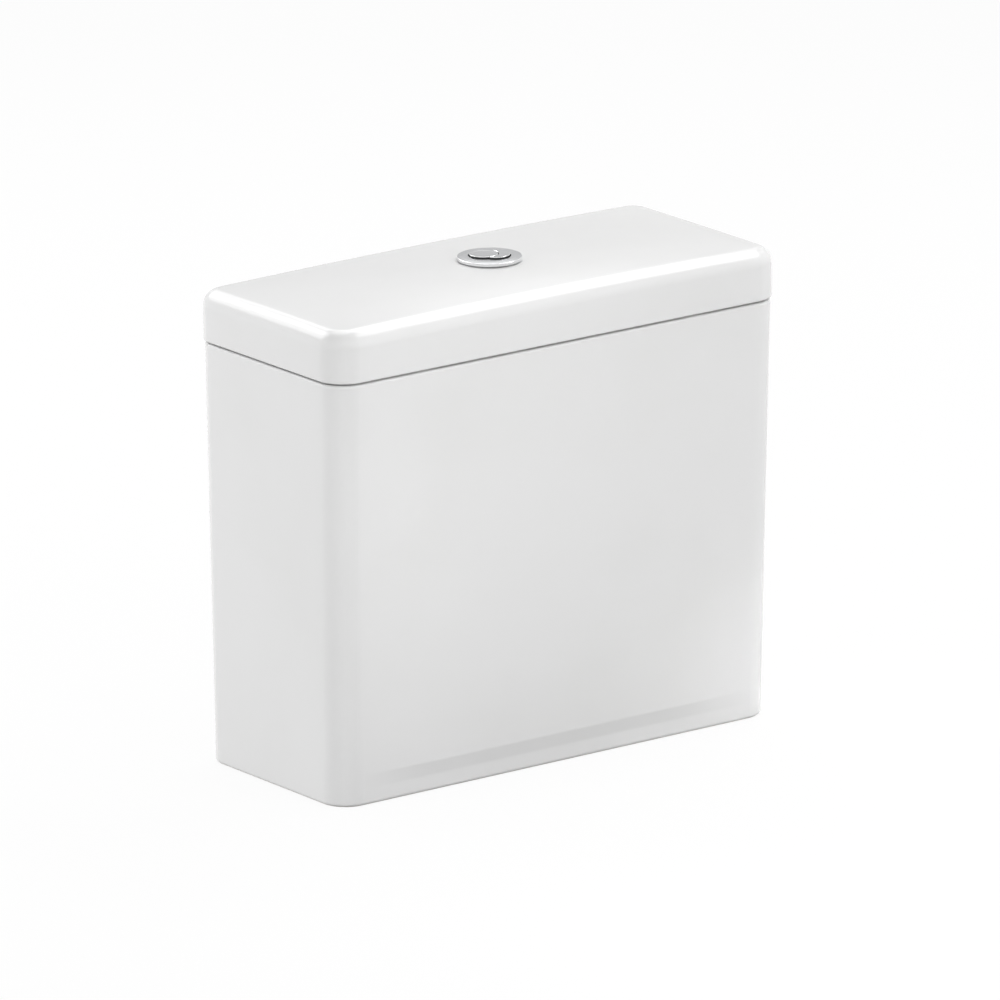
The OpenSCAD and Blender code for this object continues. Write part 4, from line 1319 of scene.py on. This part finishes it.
@dataclass
class FillValve:
    """The fill valve: inlet, riser, head, cap and the float that shuts it."""

    pieces: tuple[Union[Thread, Moulding], ...] = (
        Moulding("inlet_riser", "tank", Palette.WHITE, 0),
        Moulding("inlet_washer", "tank", Palette.BLACK),
        Moulding("inlet_lock_nut", "tank", Palette.WHITE, 0.2 * MM),
        Moulding("inlet_filter", "tank", Palette.GREEN),
        Moulding("fill_valve_head", "tank", Palette.SLATE, 0),
        Moulding("valve_diaphragm", "tank", Palette.BLACK),
        Moulding("fill_valve_cap", "tank", Palette.WHITE, 0),
        Moulding("float_lever_pin", "tank", Palette.STEEL),
        Moulding("silencer_tube", "tank", Palette.GREY),
        Moulding("float_cup", "float", Palette.WHITE, 0.6 * MM),
        Moulding("float_adjust_rod", "float", Palette.GREEN, 0),
        Moulding("float_lever", "float_arm", Palette.SLATE, 0.2 * MM),
        Thread("inlet_thread", "tank", 0.5, 10.15, (120, 0, 4.4), 1.8, 7, 64),
    )
    axis_x: float = 120 * MM
    cap_r: float = 20 * MM
    cap_foot: float = 262 * MM
    cap_h: float = 10 * MM
    grips: int = 36
    grip_r: float = 0.9 * MM
    grip_round: float = 0.3 * MM
    # How far the grips are let into the cap, and how far they stop short of its ends
    grip_sunk: float = 0.2 * MM
    grip_short: float = 0.8 * MM
    float_r: float = 30 * MM
    float_foot: float = 150 * MM
    bands: int = 4
    band_from: float = 10 * MM
    band_step: float = 11.5 * MM
    band_r: float = 0.7 * MM
    # How far the bands are let into the float, and how many times as tall as round they are
    band_sunk: float = 0.2 * MM
    band_tall: float = 1.6

    def grip_ring(self) -> bpy.types.Object:
        """Models the finger grips round the cap.

        Returns:
            The piece.
        """
        foot = Vector((self.axis_x + self.cap_r - self.grip_sunk, 0, self.cap_foot + self.grip_short))
        rib = Model.round("cap_grips", self.grip_r, foot, self.cap_h - 2 * self.grip_short, 8)
        rib.pick_edges(lambda a, b: abs(a.z - b.z) < NEAR).bevel(self.grip_round, 2)
        rib.settle()
        about = Matrix.Translation((self.axis_x, 0, 0))
        for step in range(1, self.grips):
            turn = Matrix.Rotation(2 * math.pi * step / self.grips, 4, "Z")
            twin = rib.object.copy()
            twin.data = rib.object.data.copy()
            twin.data.transform(about @ turn @ about.inverted())
            bpy.context.scene.collection.objects.link(twin)
            twin.select_set(True)
        bpy.ops.object.join()
        rib.smooth(40.0, weighted=False).paint(Palette.WHITE)
        return rib.place("tank", "white_plastic")

    def float_bands(self) -> bpy.types.Object:
        """Models the raised bands round the float cup.

        Returns:
            The piece.
        """
        whole: Optional[Model] = None
        for step in range(self.bands):
            z = self.float_foot + self.band_from + self.band_step * step
            Model.deselect()
            bpy.ops.mesh.primitive_torus_add(
                location=(self.axis_x, 0, z), major_segments=96, minor_segments=10,
                major_radius=self.float_r - self.band_sunk, minor_radius=self.band_r,
            )
            band = Model("float_bands").settle().pick_all()
            band.scale(1, 1, self.band_tall, (self.axis_x, 0, z)).settle()
            whole = whole.combine(band, "UNION") if whole else band
        whole.smooth(50.0, weighted=False).paint(Palette.WHITE)
        return whole.place("float", "white_plastic")

    def build(self) -> None:
        """Builds the valve."""
        for piece in self.pieces:
            piece.build()
        self.grip_ring()
        self.float_bands()


@dataclass(frozen=True)
class Softbox:
    """One soft lamp of the studio."""

    name: str
    place: Point
    aim: Point
    width: float
    height: float
    watts: float
    spread: float = 180.0
    mirrored: bool = True
    lights: bool = True

    def build(self) -> None:
        """Hangs the lamp."""
        lamp = bpy.data.lights.new(self.name, "AREA")
        lamp.shape, lamp.size, lamp.size_y, lamp.energy = "RECTANGLE", self.width, self.height, self.watts
        lamp.spread = math.radians(self.spread)
        made = bpy.data.objects.new(self.name, lamp)
        made.location = self.place
        made.rotation_euler = (Vector(self.aim) - Vector(self.place)).to_track_quat("-Z", "Y").to_euler()
        made.visible_camera, made.visible_glossy, made.visible_diffuse = False, self.mirrored, self.lights
        bpy.context.scene.collection.objects.link(made)


@dataclass
class Studio:
    """A white room: camera, floor, world and lamps."""

    azimuth: float = math.radians(-36.47)
    elevation: float = math.radians(15.84)
    roll: float = math.radians(-0.57)
    distance: float = 10.165
    aside: float = 5.76 * MM
    level: float = 179.65 * MM
    focal: float = 14.06
    sensor: float = 36.0
    clip: tuple[float, float] = (0.1, 100.0)
    ambient: float = 0.38
    # Sines of the heights between which the ceiling turns dark in mirrors, and by how much
    ceiling: tuple[float, float] = (0.45, 0.9)
    dusk: float = 0.5
    # The same for the horizon
    horizon: tuple[float, float] = (0.2, 0.36)
    haze: float = 0.2
    floor_r: float = 30.0
    floor_drop: float = 0.2 * MM
    floor_tone: Colour = (0.22, 0.22, 0.22, 1)
    floor_pale: Colour = (0.9, 0.9, 0.9, 1)
    floor_white: float = 0.92
    # Half width and half depth of the opening under the tank, which lets the room's light reach its underside
    opening: tuple[float, float] = (188 * MM, 71 * MM)
    lamps: tuple[Softbox, ...] = (
        Softbox("over_right", (1.38, 0.05, 2.15), (0, -0.08, 0.35), 2.4, 0.7, 26),
        Softbox("over_corner", (0.75, 1.25, 1.95), (0, 0, 0.35), 1.0, 1.0, 5.5),
        Softbox("back_right", (1.3, 1.5, 1.58), (0, 0, 0.35), 1.3, 0.75, 1.8),
        Softbox("over_back", (0.0, 2.2, 1.75), (0, 0, 0.3), 1.6, 0.9, 8),
        Softbox("edge_card", (-0.87, 1.94, 2.09), (-0.2, 0, 0.35), 1.6, 1.6, 22, lights=False),
        Softbox("corner_card", (0.15, 0.55, 2.2), (-0.19, -0.08, 0.35), 1.0, 1.1, 7.5, lights=False),
        Softbox("left_rear", (-1.0, 1.9, 0.6), (-0.2, 0, 0.2), 1.0, 1.0, 12.5, mirrored=False),
        Softbox("left_side", (-2.4, 0.3, 0.38), (0, 0, 0.15), 1.2, 0.8, 28, mirrored=False),
        Softbox("front_left", (-0.1, -1.0, 0.45), (-0.13, 0, 0.2), 0.6, 0.7, 1.4, mirrored=False),
        Softbox("front_right", (0.45, -1.1, 0.5), (0.05, 0, 0.22), 0.6, 0.7, 5.8, mirrored=False),
        Softbox("front_beam", (-0.2, -0.7, 0.4), (-0.16, 0, 0.2), 0.2, 0.5, 0.12, 60, mirrored=False),
        Softbox("front_slit", (-0.2, -0.7, 0.14), (-0.155, -0.08, 0.13), 0.05, 0.3, 0.0035, 16, mirrored=False),
        Softbox("corner_near", (0.33, -0.2, 0.03), (0.19, -0.08, 0.035), 0.08, 0.03, 0.045, mirrored=False),
        Softbox("corner_beam", (0.55, -0.45, 0.04), (0.19, -0.08, 0.03), 0.06, 0.04, 0.0095, 24, mirrored=False),
    )

    def camera(self) -> None:
        """Sets the camera where the photograph was taken from."""
        back = Vector((math.sin(self.azimuth) * math.cos(self.elevation),
                       -math.cos(self.azimuth) * math.cos(self.elevation), math.sin(self.elevation)))
        right = Vector((math.cos(self.azimuth), math.sin(self.azimuth), 0))
        up = back.cross(right)
        across = math.cos(self.roll) * right + math.sin(self.roll) * up
        data = bpy.data.cameras.new("camera")
        data.sensor_width, data.lens = self.sensor, self.sensor * self.focal
        data.clip_start, data.clip_end = self.clip
        made = bpy.data.objects.new("camera", data)
        spot = Vector((0, 0, self.level)) + right * self.aside + back * self.distance
        turned = Matrix((across, back.cross(across), back)).transposed().to_4x4()
        made.matrix_world = Matrix.Translation(spot) @ turned
        bpy.context.scene.collection.objects.link(made)
        bpy.context.scene.camera = made

    @staticmethod
    def seen(graph: Graph) -> Wire:
        """Returns 1 for the rays that look at the background, straight or in a mirror or glass."""
        straight, mirror, glass = (
            graph.node("ShaderNodeLightPath", output=f"Is {ray} Ray") for ray in ("Camera", "Glossy", "Transmission"))
        return straight | mirror | glass

    def world(self) -> None:
        """Fills the room with soft light, and shows it as white."""
        world = bpy.data.worlds.new("room")
        world.use_nodes = True
        bpy.context.scene.world = world
        graph = Graph(world.node_tree)
        up = graph.node("ShaderNodeSeparateXYZ", {}, {0: graph.node("ShaderNodeTexCoord", output="Generated")}, "Z")
        mirrored = graph.node("ShaderNodeLightPath", output="Is Glossy Ray")
        shade = up.ramp(*self.ceiling) * self.dusk + (1.0 - up.ramp(*self.horizon)) * self.haze
        strength = self.ambient + self.seen(graph) * (1.0 - self.ambient) - mirrored * shade
        shader = graph.node("ShaderNodeBackground", {}, {"Color": (1, 1, 1, 1), "Strength": strength})
        graph.node("ShaderNodeOutputWorld", {}, {"Surface": shader})

    def floor(self) -> None:
        """Lays a pale floor that looks white, keeps the shadow and is open under the tank."""
        Model.deselect()
        bpy.ops.mesh.primitive_circle_add(
            vertices=96, radius=self.floor_r, fill_type="NGON", location=(0, 0, -self.floor_drop)
        )
        ground = Model("floor")
        graph, made = Graph.material("pale_floor")
        matt = graph.node("ShaderNodeBsdfDiffuse", {}, {"Color": self.floor_tone})
        pale = graph.node("ShaderNodeBsdfDiffuse", {}, {"Color": self.floor_pale})
        white = graph.node("ShaderNodeEmission", {}, {"Color": (1, 1, 1, 1), "Strength": 1.0})
        shown = graph.node("ShaderNodeMixShader", {}, {0: self.floor_white, 1: pale, 2: white})
        upper = graph.node("ShaderNodeMixShader", {}, {0: self.seen(graph), 1: matt, 2: shown})
        under = graph.node("ShaderNodeNewGeometry", output="Backfacing")
        reach = [graph.node("ShaderNodeSeparateXYZ", {}, {0: graph.place()}, axis) for axis in "XY"]
        inside = [1.0 - way.maths("ABSOLUTE", way).ramp(half, half + MM) for way, half in zip(reach, self.opening)]
        clear = graph.node("ShaderNodeBsdfTransparent")
        graph.surface(graph.node("ShaderNodeMixShader", {}, {0: under | inside[0] * inside[1], 1: upper, 2: clear}))
        ground.object.data.materials.append(made)

    def build(self) -> None:
        """Sets up the room."""
        bpy.context.scene.view_settings.view_transform = "Standard"
        self.camera()
        self.world()
        self.floor()
        for lamp in self.lamps:
            lamp.build()


def main() -> None:
    """Builds every piece in order, then the studio."""
    logging.basicConfig(level=logging.INFO, format="%(name)s: %(message)s")
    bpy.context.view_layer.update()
    for assembly in (Tank(), Lid(), FlushButton(), FlushValve(), FillValve(), Studio()):
        LOG.info("building %s", type(assembly).__name__)
        assembly.build()
    Model.deselect()


if __name__ == "__main__":
    main()
